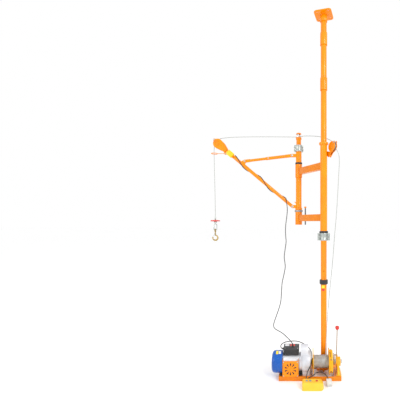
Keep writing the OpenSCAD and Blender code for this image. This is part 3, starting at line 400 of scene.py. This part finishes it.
RISER = [
    (0.0949, -0.0657, 1.9208), (0.0953, -0.066, 1.913), (0.099, -0.067, 1.898),
    (0.106, -0.069, 1.882), (0.118, -0.071, 1.858), (0.125, -0.072, 1.83),
    (0.127, -0.074, 1.79), (0.125, -0.076, 1.745), (0.119, -0.08, 1.64), (0.112, -0.084, 1.51),
    (0.1, -0.09, 1.335), (0.085, -0.097, 1.165), (0.072, -0.104, 1), (0.061, -0.109, 0.885),
    (0.048, -0.114, 0.76), (0.037, -0.119, 0.65), (0.024, -0.126, 0.5), (0.016, -0.132, 0.35),
    (0.01, -0.136, 0.25), (0.008, -0.1388, 0.18), (0.008, -0.1388, 0.128),
]
BACK = [
    (-0.221, 0.3163, 2.097), (-0.203, 0.2948, 2.0965), (-0.16, 0.2435, 2.087),
    (-0.1, 0.1719, 2.067), (-0.04, 0.1002, 2.043), (0, 0.0525, 2.021), (0.027, 0.0202, 2.003),
    (0.044, -0.0001, 1.99), (0.0613, -0.0207, 1.975), (0.0705, -0.0317, 1.967),
    (0.078, -0.0415, 1.9595), (0.0846, -0.051, 1.9528), (0.0901, -0.0589, 1.9444),
    (0.0938, -0.064, 1.9335), (0.0949, -0.0657, 1.926), (0.0949, -0.0657, 1.921),
]
OVER_BOOM = [on_post(*p) for p in [
    (0.004, 0, 2.097), (0.04, 0, 2.098), (0.12, 0, 2.099), (0.26, 0, 2.1), (0.42, 0, 2.1),
    (0.56, 0, 2.098), (0.64, 0, 2.095), (0.7, 0, 2.09), (0.74, 0, 2.0845), (0.768, 0, 2.077),
    (0.7885, 0, 2.068), (0.8005, 0, 2.0593), (0.8078, 0, 2.0475), (0.81, 0, 2.038),
    (0.81, 0, 2.0332),
]]
FALL = [on_post(*p) for p in [
    (0.81, 0, 2.033), (0.8105, 0, 2.005), (0.8115, 0, 1.965), (0.811, 0, 1.9), (0.809, 0, 1.8),
    (0.806, 0, 1.68), (0.803, 0, 1.56), (0.801, 0, 1.44), (0.8, 0, 1.38), (0.8, 0, 1.335),
]]
HANGING = [
    (-0.351, 0.319, 1.514), (-0.347, 0.3155, 1.5105), (-0.3435, 0.308, 1.504),
    (-0.3415, 0.298, 1.493), (-0.3385, 0.291, 1.472), (-0.334, 0.289, 1.44),
    (-0.331, 0.288, 1.4), (-0.335, 0.285, 1.34), (-0.343, 0.278, 1.275), (-0.347, 0.27, 1.217),
    (-0.344, 0.2601, 1.1505),
]
LOWER = [
    (-0.344, 0.26, 1.15), (-0.34, 0.25, 1.095), (-0.349, 0.235, 1.02), (-0.355, 0.22, 0.958),
    (-0.348, 0.206, 0.91), (-0.344, 0.195, 0.865), (-0.357, 0.17, 0.79), (-0.368, 0.148, 0.735),
    (-0.372, 0.122, 0.66), (-0.376, 0.095, 0.58), (-0.391, 0.072, 0.52), (-0.41, 0.048, 0.465),
    (-0.426, 0.026, 0.42), (-0.43, 0.012, 0.4), (-0.427, -0.002, 0.384),
    (-0.414, -0.017, 0.373), (-0.392, -0.033, 0.366), (-0.365, -0.048, 0.357),
    (-0.335, -0.06, 0.34), (-0.3, -0.071, 0.312), (-0.277, -0.077, 0.289),
    (-0.264, -0.08, 0.272), (-0.262, -0.08, 0.259), (-0.262, -0.08, 0.252),
]
TO_HANDSET = [
    (-0.342, -0.08, 0.232), (-0.35, -0.08, 0.2325), (-0.3575, -0.08, 0.237),
    (-0.361, -0.0795, 0.247), (-0.359, -0.079, 0.258), (-0.351, -0.0775, 0.268),
    (-0.338, -0.075, 0.276), (-0.317, -0.07, 0.2825), (-0.276, -0.055, 0.283),
    (-0.242, -0.043, 0.279), (-0.212, -0.033, 0.2705), (-0.176, -0.026, 0.252),
    (-0.15, -0.0225, 0.234), (-0.126, -0.024, 0.213), (-0.11, -0.036, 0.193),
    (-0.104, -0.056, 0.181), (-0.1036, -0.08, 0.177), (-0.1036, -0.104, 0.174),
    (-0.1036, -0.128, 0.168), (-0.1045, -0.148, 0.156), (-0.109, -0.164, 0.138),
    (-0.118, -0.175, 0.12), (-0.128, -0.177, 0.104), (-0.136, -0.177, 0.088),
    (-0.142, -0.18, 0.071), (-0.147, -0.187, 0.056), (-0.149, -0.199, 0.049),
    (-0.1475, -0.212, 0.047), (-0.147, -0.224, 0.047),
]
TO_PLUG = [
    (-0.128, -0.224, 0.047), (-0.128, -0.213, 0.047), (-0.125, -0.198, 0.0465),
    (-0.116, -0.183, 0.0455), (-0.104, -0.172, 0.0455), (-0.093, -0.1645, 0.048),
    (-0.084, -0.158, 0.053), (-0.068, -0.147, 0.0605), (-0.046, -0.1395, 0.0635),
    (-0.024, -0.138, 0.0615), (-0.006, -0.142, 0.055), (0.006, -0.1495, 0.048),
    (0.0145, -0.1585, 0.0428), (0.0205, -0.17, 0.04), (0.0243, -0.184, 0.0373),
    (0.026, -0.196, 0.0342),
]
BOOM_TURNS = 2
WRAP_R = 0.0199
WRAP_FROM, WRAP_TO = BOOM_LEN - 0.195, 0.106
ALONG_BOOM = [on_boom(WRAP_FROM + f / 32 * (WRAP_TO - WRAP_FROM),
                      WRAP_R * math.sin(BOOM_TURNS * FULL_TURN * f / 32),
                      WRAP_R * math.cos(BOOM_TURNS * FULL_TURN * f / 32)) for f in range(33)]


def rope(name, points, node, body=None, spread=None):
    """A stranded wire rope that replaces a CAD rope and rides one body; with spread its placement is
    baked into the mesh.
    """
    bm = swept(smooth_path(points, 0.004), ROPE_D / 2, strands=True)
    made = piece(name, bm, ROPE, body, [node], smooth=80)
    if spread:
        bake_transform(made)
    return made


def relief(name, place, axis, body, length=0.026, wide=0.0075):
    """A tapered strain relief with ribs, from a gland out along a lead."""
    ribs, bore, taper = 5, 0.0034, wide - 0.0048
    outline = [(bore, 0), (wide, 0)]
    for i in range(ribs):
        near, far = (i + 0.25) / ribs, (i + 0.75) / ribs
        crest, groove = wide - taper * near, wide - taper * far - 0.0007
        outline += [(crest, length * near), (crest, length * (near + 0.28 / ribs)),
                    (groove, length * (near + 0.34 / ribs)), (groove, length * far)]
    outline += [(0.0044, length), (bore, length)]
    return piece(name, turned(outline, place, axis, steps=32), RUBBER, body, smooth=30)


def lead(name, points, node, body=None, spread=None):
    """A black flexible lead."""
    path = smooth_path(points, 0.005)
    made = piece(name, swept(path, LEAD_D / 2, sides=14), LEAD, body, [node], smooth=80)
    if spread:
        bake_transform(made)
    return made


rope("riser_rope", RISER, "rope_riser", spread=("swing_frame", "base", RISER[0], RISER[-1]))
rope("back_rope", BACK, "rope_back", body="swing_frame")
rope("boom_rope", [*OVER_BOOM, on_post(0.8101, 0, 2.026)], "rope_boom",
     spread=("post", "boom", on_post(0.1, 0, 2.098), on_post(0.745, 0, 2.083)))
rope("fall_rope", FALL, "rope_drop", spread=("rope_fall", "hook_block", FALL[0], FALL[-1]))

foot_relief = relief("box_top_relief", LOWER[-1], Vector(LOWER[-2]) - Vector(LOWER[-1]), "base", 0.02)
side_relief = relief("box_side_relief", TO_HANDSET[0], (-1, 0, 0), "base", 0.009)
handset_relief = relief("handset_relief", TO_HANDSET[-1], (0, 1, 0), "base", 0.024)
plug_lead_relief = relief("plug_lead_relief", TO_PLUG[0], (0, 1, 0), "base", 0.022)
lead("boom_lead", ALONG_BOOM, "boom_cable",
     spread=("post", "boom", ALONG_BOOM[-1], ALONG_BOOM[-9]))
lead("hanging_lead", HANGING, "hanging_cable",
     spread=("post", "swing_frame", HANGING[0], HANGING[-1]))
lead("lower_lead", LOWER, "lower_cable",
     spread=("swing_frame", "base", LOWER[0], LOWER[-1]))
lead("handset_lead", TO_HANDSET, "pendant_cable", body="base")

# ---------------------------------------------------------------- mast


def patch_on_tube(name, radius, turn, width, low, high, material, body):
    """A thin blank label bent round an upright tube; turn 0 faces the front."""
    bm = bmesh.new()
    half = width / radius / 2
    first = bm.verts.new((radius * math.sin(turn - half), -radius * math.cos(turn - half), low))
    second = bm.verts.new((first.co.x, first.co.y, high))
    edge = bm.edges.new((first, second))
    bmesh.ops.spin(bm, geom=[first, second, edge], cent=(0, 0, 0), axis=(0, 0, 1),
                   angle=2 * half, steps=12, use_duplicate=False)
    bmesh.ops.recalc_face_normals(bm, faces=bm.faces)
    if bm.faces[:][0].normal.y > 0:
        bmesh.ops.reverse_faces(bm, faces=bm.faces)
    bmesh.ops.solidify(bm, geom=bm.faces[:], thickness=-0.0003)
    return piece(name, bm, material, body)


MAST_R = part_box("mast_tubes")[1].x
dress("base_frame", ORANGE, 0.0014)
dress("mast_foot", [ORANGE, ZINC], 0.0014,
      lambda c, reach: int(c.z > 0.0442 and abs(c.y - 0.054) < 0.009 and abs(abs(c.x) - 0.02) < 0.009))
dress("mast_tubes", ORANGE, 0.0006)
dress("couplers", ORANGE, 0.0016)
dress("mast_rings", RUBBER, 0.0012)
dress("mast_clamp", ZINC, 0.0014)
dress("ceiling_plate", ORANGE, 0.0018)
LABEL_R, LABEL_TURN, LABEL_WIDTH = MAST_R + 0.0003, -0.25, 0.026
for level, low, high, look in (("upper", 0.720, 0.744, PAPER_YELLOW),
                               ("lower", 0.697, 0.717, PAPER_RED)):
    patch_on_tube(f"blank_label_{level}", LABEL_R, LABEL_TURN, LABEL_WIDTH, low, high, look,
                  "base")

# ---------------------------------------------------------------- swing frame

dress("swing_sleeve", ORANGE, 0.001)
dress("swing_bearings", [BRONZE, RING_GREY, RUBBER], 0.0008,
      lambda c, reach: 0 if (c - Vector((0, 0, c.z))).length < 0.1 else 1 if c.z < 1.5 else 2)
dress("swing_links", ORANGE, 0.003)
dress("post_sleeves", ORANGE, 0.0012)
dress("tail_bracket", ORANGE, 0.001)
TAIL = on_links(-0.072, -0.040, 1.921)
dress("tail_axle", [ZINC, ORANGE], 0.0008, lambda c, reach: int((c - TAIL).length < 0.022))
dress("tail_sheave", DARK_STEEL, 0.0008)
dress("lock_pin", [DARK_STEEL, ORANGE], 0.0014, lambda c, reach: int(c.z > 1.4124))


def bead(name, path, body, radius=0.0026, ripple=0.18, waves=70):
    """A weld bead with the ripples of the torch along a path."""
    bm = swept(path, lambda f: radius * (1 + ripple * math.sin(f * waves * FULL_TURN)), sides=8)
    return piece(name, bm, ORANGE, body, smooth=80)


LINK_W, LINK_H = 0.040, 0.060


def link_weld(name, centre_z, radius, from_mast):
    """The bead where a link of rectangular section meets a round sleeve."""
    half_w, half_h, soft = LINK_W / 2, LINK_H / 2, 0.004
    outline = []
    for cx, cy, start in ((1, 1, 0), (-1, 1, 90), (-1, -1, 180), (1, -1, 270)):
        for k in range(5):
            a = math.radians(start + 22.5 * k)
            outline.append((cx * (half_w - soft) + soft * math.cos(a),
                            cy * (half_h - soft) + soft * math.sin(a)))
    outline.append(outline[0])
    path = []
    for side, up in outline:
        out = math.sqrt(radius**2 - side**2) + 0.0008
        along = out if from_mast else LINK_LEN - out
        path.append(on_links(along, side, centre_z + up))
    return bead(name, smooth_path(path, 0.0012), "swing_frame")


for level, z in (("low", 1.3205), ("top", 1.765)):
    link_weld(f"{level}_link_mast_weld", z, 0.030, True)
    link_weld(f"{level}_link_post_weld", z, 0.0325, False)


def ring_bead(name, centre, radius, body):
    path = [Vector(centre) + Vector((radius * math.cos(a), radius * math.sin(a), 0))
            for a in (FULL_TURN * k / 120 for k in range(121))]
    return bead(name, path, body, 0.0022)


ring_bead("mast_foot_weld", (0, 0, 0.0445), 0.0325, "base")
ring_bead("mast_plate_weld", (0, 0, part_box("ceiling_plate")[1].z - 0.0085), 0.0315, "ceiling_jack")
ring_bead("post_collar_weld", (POST_X, POST_Y, 1.4185), 0.0285, "post")

# ---------------------------------------------------------------- post, strut and boom


def pin_head(c, reach, axis_point):
    """True for a face of a pin's head, outside the ears it passes through."""
    near = math.hypot(c.x - axis_point.x, c.z - axis_point.z) < 0.0115
    return near and reach < 0.0125 and abs(c.y - POST_Y) > 0.0104


FOOT, STRUT_FOOT = on_post(FOOT_U, 0, FOOT_Z), on_post(0.065, 0, 1.920)
LUG = on_boom(BOOM_LEN * 0.6755, 0, 0.037)
dress("boom_post", [ORANGE, ZINC], 0.001,
      lambda c, reach: int(pin_head(c, reach, FOOT) or pin_head(c, reach, STRUT_FOOT)))
dress("post_clamp", ZINC, 0.0012)
dress("guide_head", [ORANGE, ZINC], 0.0014, lambda c, reach: int(2.0921 < c.z < 2.1219))
dress("front_roller", PIN_STEEL, 0.0012)
dress("back_roller", PIN_STEEL, 0.0012)
dress("strut_outer", [ORANGE, ZINC], 0.0012, lambda c, reach: int(abs(c.y - POST_Y) > 0.0152))
dress("strut_inner", ORANGE, 0.0012)
dress("boom_tube", [ORANGE, ZINC], 0.0012, lambda c, reach: int(pin_head(c, reach, LUG)))
dress("head_plates", ORANGE, 0.001)
dress("head_axle", [ZINC, ORANGE], 0.0008,
      lambda c, reach: int(math.hypot(c.x - HEAD.x, c.z - HEAD.z) < 0.014))
dress("head_sheave", DARK_STEEL, 0.0008)
dress("limit_switch", SWITCH, 0.0025)
dress("limit_arm", ORANGE, 0.0006)
BOSS = [(0.0066, 0), (0.0175, 0), (0.0175, 0.0028), (0.0160, 0.0042), (0.0128, 0.0046),
        (0.0066, 0.0046)]
for tag, centre, body, half in (("head", HEAD, "boom", 0.020), ("tail", TAIL, "swing_frame", 0.013)):
    side = Vector((0, 1, 0)) if tag == "head" else on_links(0, 1, 0)
    bm = bmesh.new()
    for way in (-1, 1):
        turned(BOSS, centre + side * way * half, side * way, bm=bm)
    piece(f"{tag}_boss_washers", bm, ORANGE, body)

PIN_WASHER = [(0.0051, 0), (0.0105, 0), (0.0105, 0.0009), (0.0100, 0.0013), (0.0051, 0.0013)]
EAR_FACE = 0.0105                             # outer face of the ears from the post's plane
bm = bmesh.new()
for point in (FOOT, STRUT_FOOT):
    for way in (-1, 1):
        turned(PIN_WASHER, point + Vector((0, way * EAR_FACE, 0)), (0, way, 0), bm=bm)
piece("post_pin_washers", bm, ZINC, "post")

# ---------------------------------------------------------------- hook and fall

HANG = on_post(0.800, 0, 0)
BOWL_Z, BOWL_R = 1.132, 0.024
EYE_Z, EYE_R = 1.202, 0.013


def forged_hook():
    """The hook's shank and bowl as one tapering bar, with a ring for its eye."""
    arc = [Vector((0, 0, EYE_Z - 0.015)), Vector((0, 0, BOWL_Z + 0.040)), Vector((0, 0, BOWL_Z + 0.031))]
    for k in range(33):
        a = math.radians(90 + 270 * k / 32)
        arc.append(Vector((BOWL_R * math.cos(a), 0, BOWL_Z + BOWL_R * math.sin(a))))
    arc.append(Vector((0.0245, 0, BOWL_Z + 0.003)))
    arc = [HANG + Vector((-p.x, 0, p.z)) for p in arc]

    def width(f):
        bowl = math.exp(-((f - 0.62) / 0.22) ** 2)
        return 0.0056 + 0.0018 * bowl - 0.0012 * max(0, f - 0.82) / 0.18

    bm = swept(smooth_path(arc, 0.002), width, sides=20)
    ring = [HANG + Vector((0, EYE_R * math.cos(a), EYE_Z + EYE_R * math.sin(a)))
            for a in (FULL_TURN * k / 48 for k in range(49))]
    swept(ring, 0.0049, sides=16, bm=bm)
    turned([(0, -0.0055), (0.0062, -0.0050), (0.0072, 0), (0.0062, 0.0055), (0, 0.0062)],
           HANG + Vector((-0.0245, 0, BOWL_Z + 0.002)), (0, 0, 1), steps=24, bm=bm)
    return bm


piece("forged_hook", forged_hook(), HOOK_GOLD, "hook", ["hook"])
dress("hook_latch", PIN_STEEL, 0.0004)
dress("rope_thimble", ZINC, 0.0016)
dress("stop_disc", RED, 0.0012)

# ---------------------------------------------------------------- winch

dress("motor_housing", MOTOR_SILVER, 0.001)
dress("motor_feet", FEET, 0.0025)
dress("fan_cover", BLUE, 0.0015)
dress("fan_guard", [ORANGE, ZINC], 0.0006,
      lambda c, reach: int(c.y < -0.1661 and abs(abs(c.x + 0.2755) - 0.0565) < 0.0055))
dress("rotor", DARK_STEEL, 0.0008)
dress("control_box", MOULDED, 0.0022)
dress("gearbox", [CAST, ZINC], 0.0022,
      lambda c, reach: int(c.x > -0.1178 and math.hypot(c.y - WINCH_Y, c.z - SHAFT_Z) > 0.067))
dress("winch_shaft", PIN_STEEL, 0.0012)
dress("drum", YELLOW, 0.001)
dress("clutch_drum", YELLOW, 0.002)
dress("clutch_collar", DARK_STEEL, 0.001)
dress("pedestal", YELLOW, 0.002)

WIND_LOW, WIND_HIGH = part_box("rope_winding")
TURNS, STEPS, COIL_R = 25, 72, 0.0484
coil = []
for k in range(TURNS * STEPS + 1):
    a = FULL_TURN * k / STEPS
    x = WIND_LOW.x + ROPE_D / 2 + k / (TURNS * STEPS) * (WIND_HIGH.x - WIND_LOW.x - ROPE_D)
    coil.append(Vector((x, WINCH_Y + COIL_R * math.cos(a), SHAFT_Z + COIL_R * math.sin(a))))
# The winding and its under layer wear the lighter copy of the rope finish: painted light.
piece("wound_rope", swept(coil, ROPE_D / 2, sides=10, strands=True), ROPE_LIT_COPY, "drum",
      ["rope_winding"], smooth=80)
piece("under_layer", turned([(0.0425, 0.0005), (0.0466, 0.0005), (0.0466, 0.1255), (0.0425, 0.1255)],
                            (WIND_LOW.x, WINCH_Y, SHAFT_Z), (1, 0, 0)), ROPE_LIT_COPY, "drum")

# Lever rod and its knob
KNOB_X, KNOB_Z = 0.108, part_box("clutch_lever")[1].z - 0.0165
dress("clutch_lever", [LEVER_STEEL, RED], 0.0008, lambda c, reach: int(c.z > KNOB_Z - 0.0175))
bm = turned([(0, -0.0165), (0.0062, -0.0163), (0.0066, -0.0125), (0.0105, -0.0080), (0.0155, -0.0005),
             (0.0170, 0.0048), (0.0158, 0.0108), (0.0112, 0.0150), (0.0050, 0.0165), (0, 0.0165)],
            (KNOB_X, WINCH_Y, KNOB_Z), (0, 0, 1), steps=48)
piece("lever_knob", bm, RED, "clutch_lever", smooth=60)

# Black sheet behind the guard, so its slots read dark: painted shade
GUARD_LOW, GUARD_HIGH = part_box("fan_guard")
piece("guard_painted_shade_sheet", block((GUARD_LOW.x + 0.006, GUARD_LOW.y + 0.0055, 0.042),
                           (GUARD_HIGH.x - 0.006, GUARD_LOW.y + 0.0065, 0.158), 0.0002),
      MOULDED, "base")

# Control box: ribs, lid screws and blank labels
BOX_LOW, BOX_HIGH = Vector((-0.334, -0.130, 0.197)), Vector((-0.210, -0.025, 0.249))
bm = bmesh.new()
for k in range(5):
    rib = block((BOX_LOW.x - 0.0012, BOX_LOW.y - 0.0012, BOX_LOW.z + 0.006 + 0.0064 * k),
                (BOX_HIGH.x + 0.0012, BOX_HIGH.y + 0.0012, BOX_LOW.z + 0.0088 + 0.0064 * k), 0.0008)
    mesh = bpy.data.meshes.new("rib")
    rib.to_mesh(mesh)
    rib.free()
    bm.from_mesh(mesh)
    bpy.data.meshes.remove(mesh)
piece("box_ribs", bm, MOULDED, "base")
bm = bmesh.new()
for x in (BOX_LOW.x + 0.010, BOX_HIGH.x - 0.010):
    for y in (BOX_LOW.y + 0.010, BOX_HIGH.y - 0.010):
        turned([(0, 0), (0.0042, 0), (0.0042, 0.0010), (0.0034, 0.0018), (0, 0.0020)],
               (x, y, BOX_HIGH.z), bm=bm, steps=24)
piece("box_screws", bm, ZINC, "base")
for name, left, right, look, slot in (("pale", -0.326, -0.292, PAPER, "plug_white"),
                                      ("red", -0.284, -0.244, PAPER_RED, "red_plastic")):
    piece(f"box_label_{name}", block((left, -0.072, 0.2490), (right, -0.032, 0.2494), 0.0001),
          look, "base")


def patch_on_shaft(name, radius, x_from, x_to, low, high, material, body):
    """A thin patch bent round the winch's axis; its turns are in degrees up from the front."""
    bm = bmesh.new()
    a, b = math.radians(low), math.radians(high)
    ends = [bm.verts.new((x, WINCH_Y - radius * math.cos(a), SHAFT_Z + radius * math.sin(a)))
            for x in (x_from, x_to)]
    edge = bm.edges.new(ends)
    bmesh.ops.spin(bm, geom=[*ends, edge], cent=(0, WINCH_Y, SHAFT_Z), axis=(1, 0, 0),
                   angle=a - b, steps=14, use_duplicate=False)
    bmesh.ops.recalc_face_normals(bm, faces=bm.faces)
    face = bm.faces[:][0]
    if face.normal.dot(face.calc_center_median() - Vector((x_from, WINCH_Y, SHAFT_Z))) < 0:
        bmesh.ops.reverse_faces(bm, faces=bm.faces)
    bmesh.ops.solidify(bm, geom=bm.faces[:], thickness=-0.0004)
    return piece(name, bm, material, body)


FAN_R, MOTOR_R, CLUTCH_R = 0.0884, 0.0684, 0.0882   # just outside each piece's surface
BASE_TOP = 0.036
patch_on_shaft("fan_label_yellow", FAN_R, -0.3960, -0.3780, 60, 86, PAPER_YELLOW, "base")
patch_on_shaft("fan_label_pale", FAN_R, -0.3740, -0.3560, 62, 84, PAPER, "base")
patch_on_shaft("motor_plate", MOTOR_R, -0.3200, -0.2280, 22, 36, PAPER, "base")

# A black strip on the clutch drum's edge next to the drum flange stands for the shade in the gap:
# painted shade.
patch_on_shaft("clutch_gap_painted_shade", CLUTCH_R, 0.0425, 0.0480, 44, 76, MOULDED, "drum")

# Black discs on the lobes' crowns stand for the sockets' dark openings: painted shade.
SOCKET = [(0, 0), (0.0055, 0), (0.0055, 0.0007), (0.0045, 0.0009), (0, 0.0009)]
SOCKET_X, CROWN_R = 0.052, 0.0952             # on the crowns of the clutch drum's six lobes
bm = bmesh.new()
for k in range(6):
    a = math.radians(30 + 60 * k)
    out = Vector((0, -math.cos(a), math.sin(a)))
    turned(SOCKET, Vector((SOCKET_X, WINCH_Y, SHAFT_Z)) + CROWN_R * out, out, steps=20, bm=bm)
piece("clutch_socket_shade_discs", bm, MOULDED, "drum")

bm = bmesh.new()
for x in (0.0990, 0.1270):
    for y in (-0.1410, -0.0330):
        hexagon(bm, (x, y, BASE_TOP), (0, 0, 1), 0.013, 0.010)
piece("base_bolts", bm, ZINC, "base")

# ---------------------------------------------------------------- handset and plug

dress("pendant", HANDSET, 0.006, crease=50)
for node, look in (("up_button", GREY_CAP), ("down_button", GREY_CAP), ("stop_button", RED)):
    dress(node, look, 0.0012)
plug = dress("mains_plug", WHITE, 0.003)
lead("plug_lead", TO_PLUG, "plug_cable", body="base")

# ---------------------------------------------------------------- floor and light

bm = bmesh.new()
bmesh.ops.create_grid(bm, x_segments=1, y_segments=1, size=60)
floor_mesh = bpy.data.meshes.new("floor")
bm.to_mesh(floor_mesh)
bm.free()
floor = bpy.data.objects.new("floor", floor_mesh)
floor_finish = bpy.data.materials.new("pale_floor")
floor_finish.use_nodes = True
floor_shader = floor_finish.node_tree.nodes["Principled BSDF"]
floor_shader.inputs["Base Color"].default_value = (1, 1, 1, 1)
floor_shader.inputs["Roughness"].default_value = 0.9
floor_mesh.materials.append(floor_finish)
scene.collection.objects.link(floor)

world = bpy.data.worlds.new("studio")
world.use_nodes = True
world.node_tree.nodes["Background"].inputs["Color"].default_value = (1, 1, 1, 1)
world.node_tree.nodes["Background"].inputs["Strength"].default_value = 1.0
scene.world = world
scene.view_settings.view_transform = "Standard"


def softbox(name, place, target, size, power):
    light = bpy.data.lights.new(name, "AREA")
    light.shape = "RECTANGLE"
    light.size, light.size_y = size
    light.energy = power
    lamp = bpy.data.objects.new(name, light)
    lamp.location = place
    lamp.rotation_mode = "QUATERNION"
    lamp.rotation_quaternion = (Vector(target) - Vector(place)).to_track_quat("-Z", "Y")
    scene.collection.objects.link(lamp)


softbox("key_light", (2.2, -3.4, 3.4), (-0.2, 0, 1.2), (1.0, 2.6), 110)
softbox("fill_light", (-3.6, -2.6, 2.2), (-0.3, 0, 1.2), (1.4, 2.4), 40)
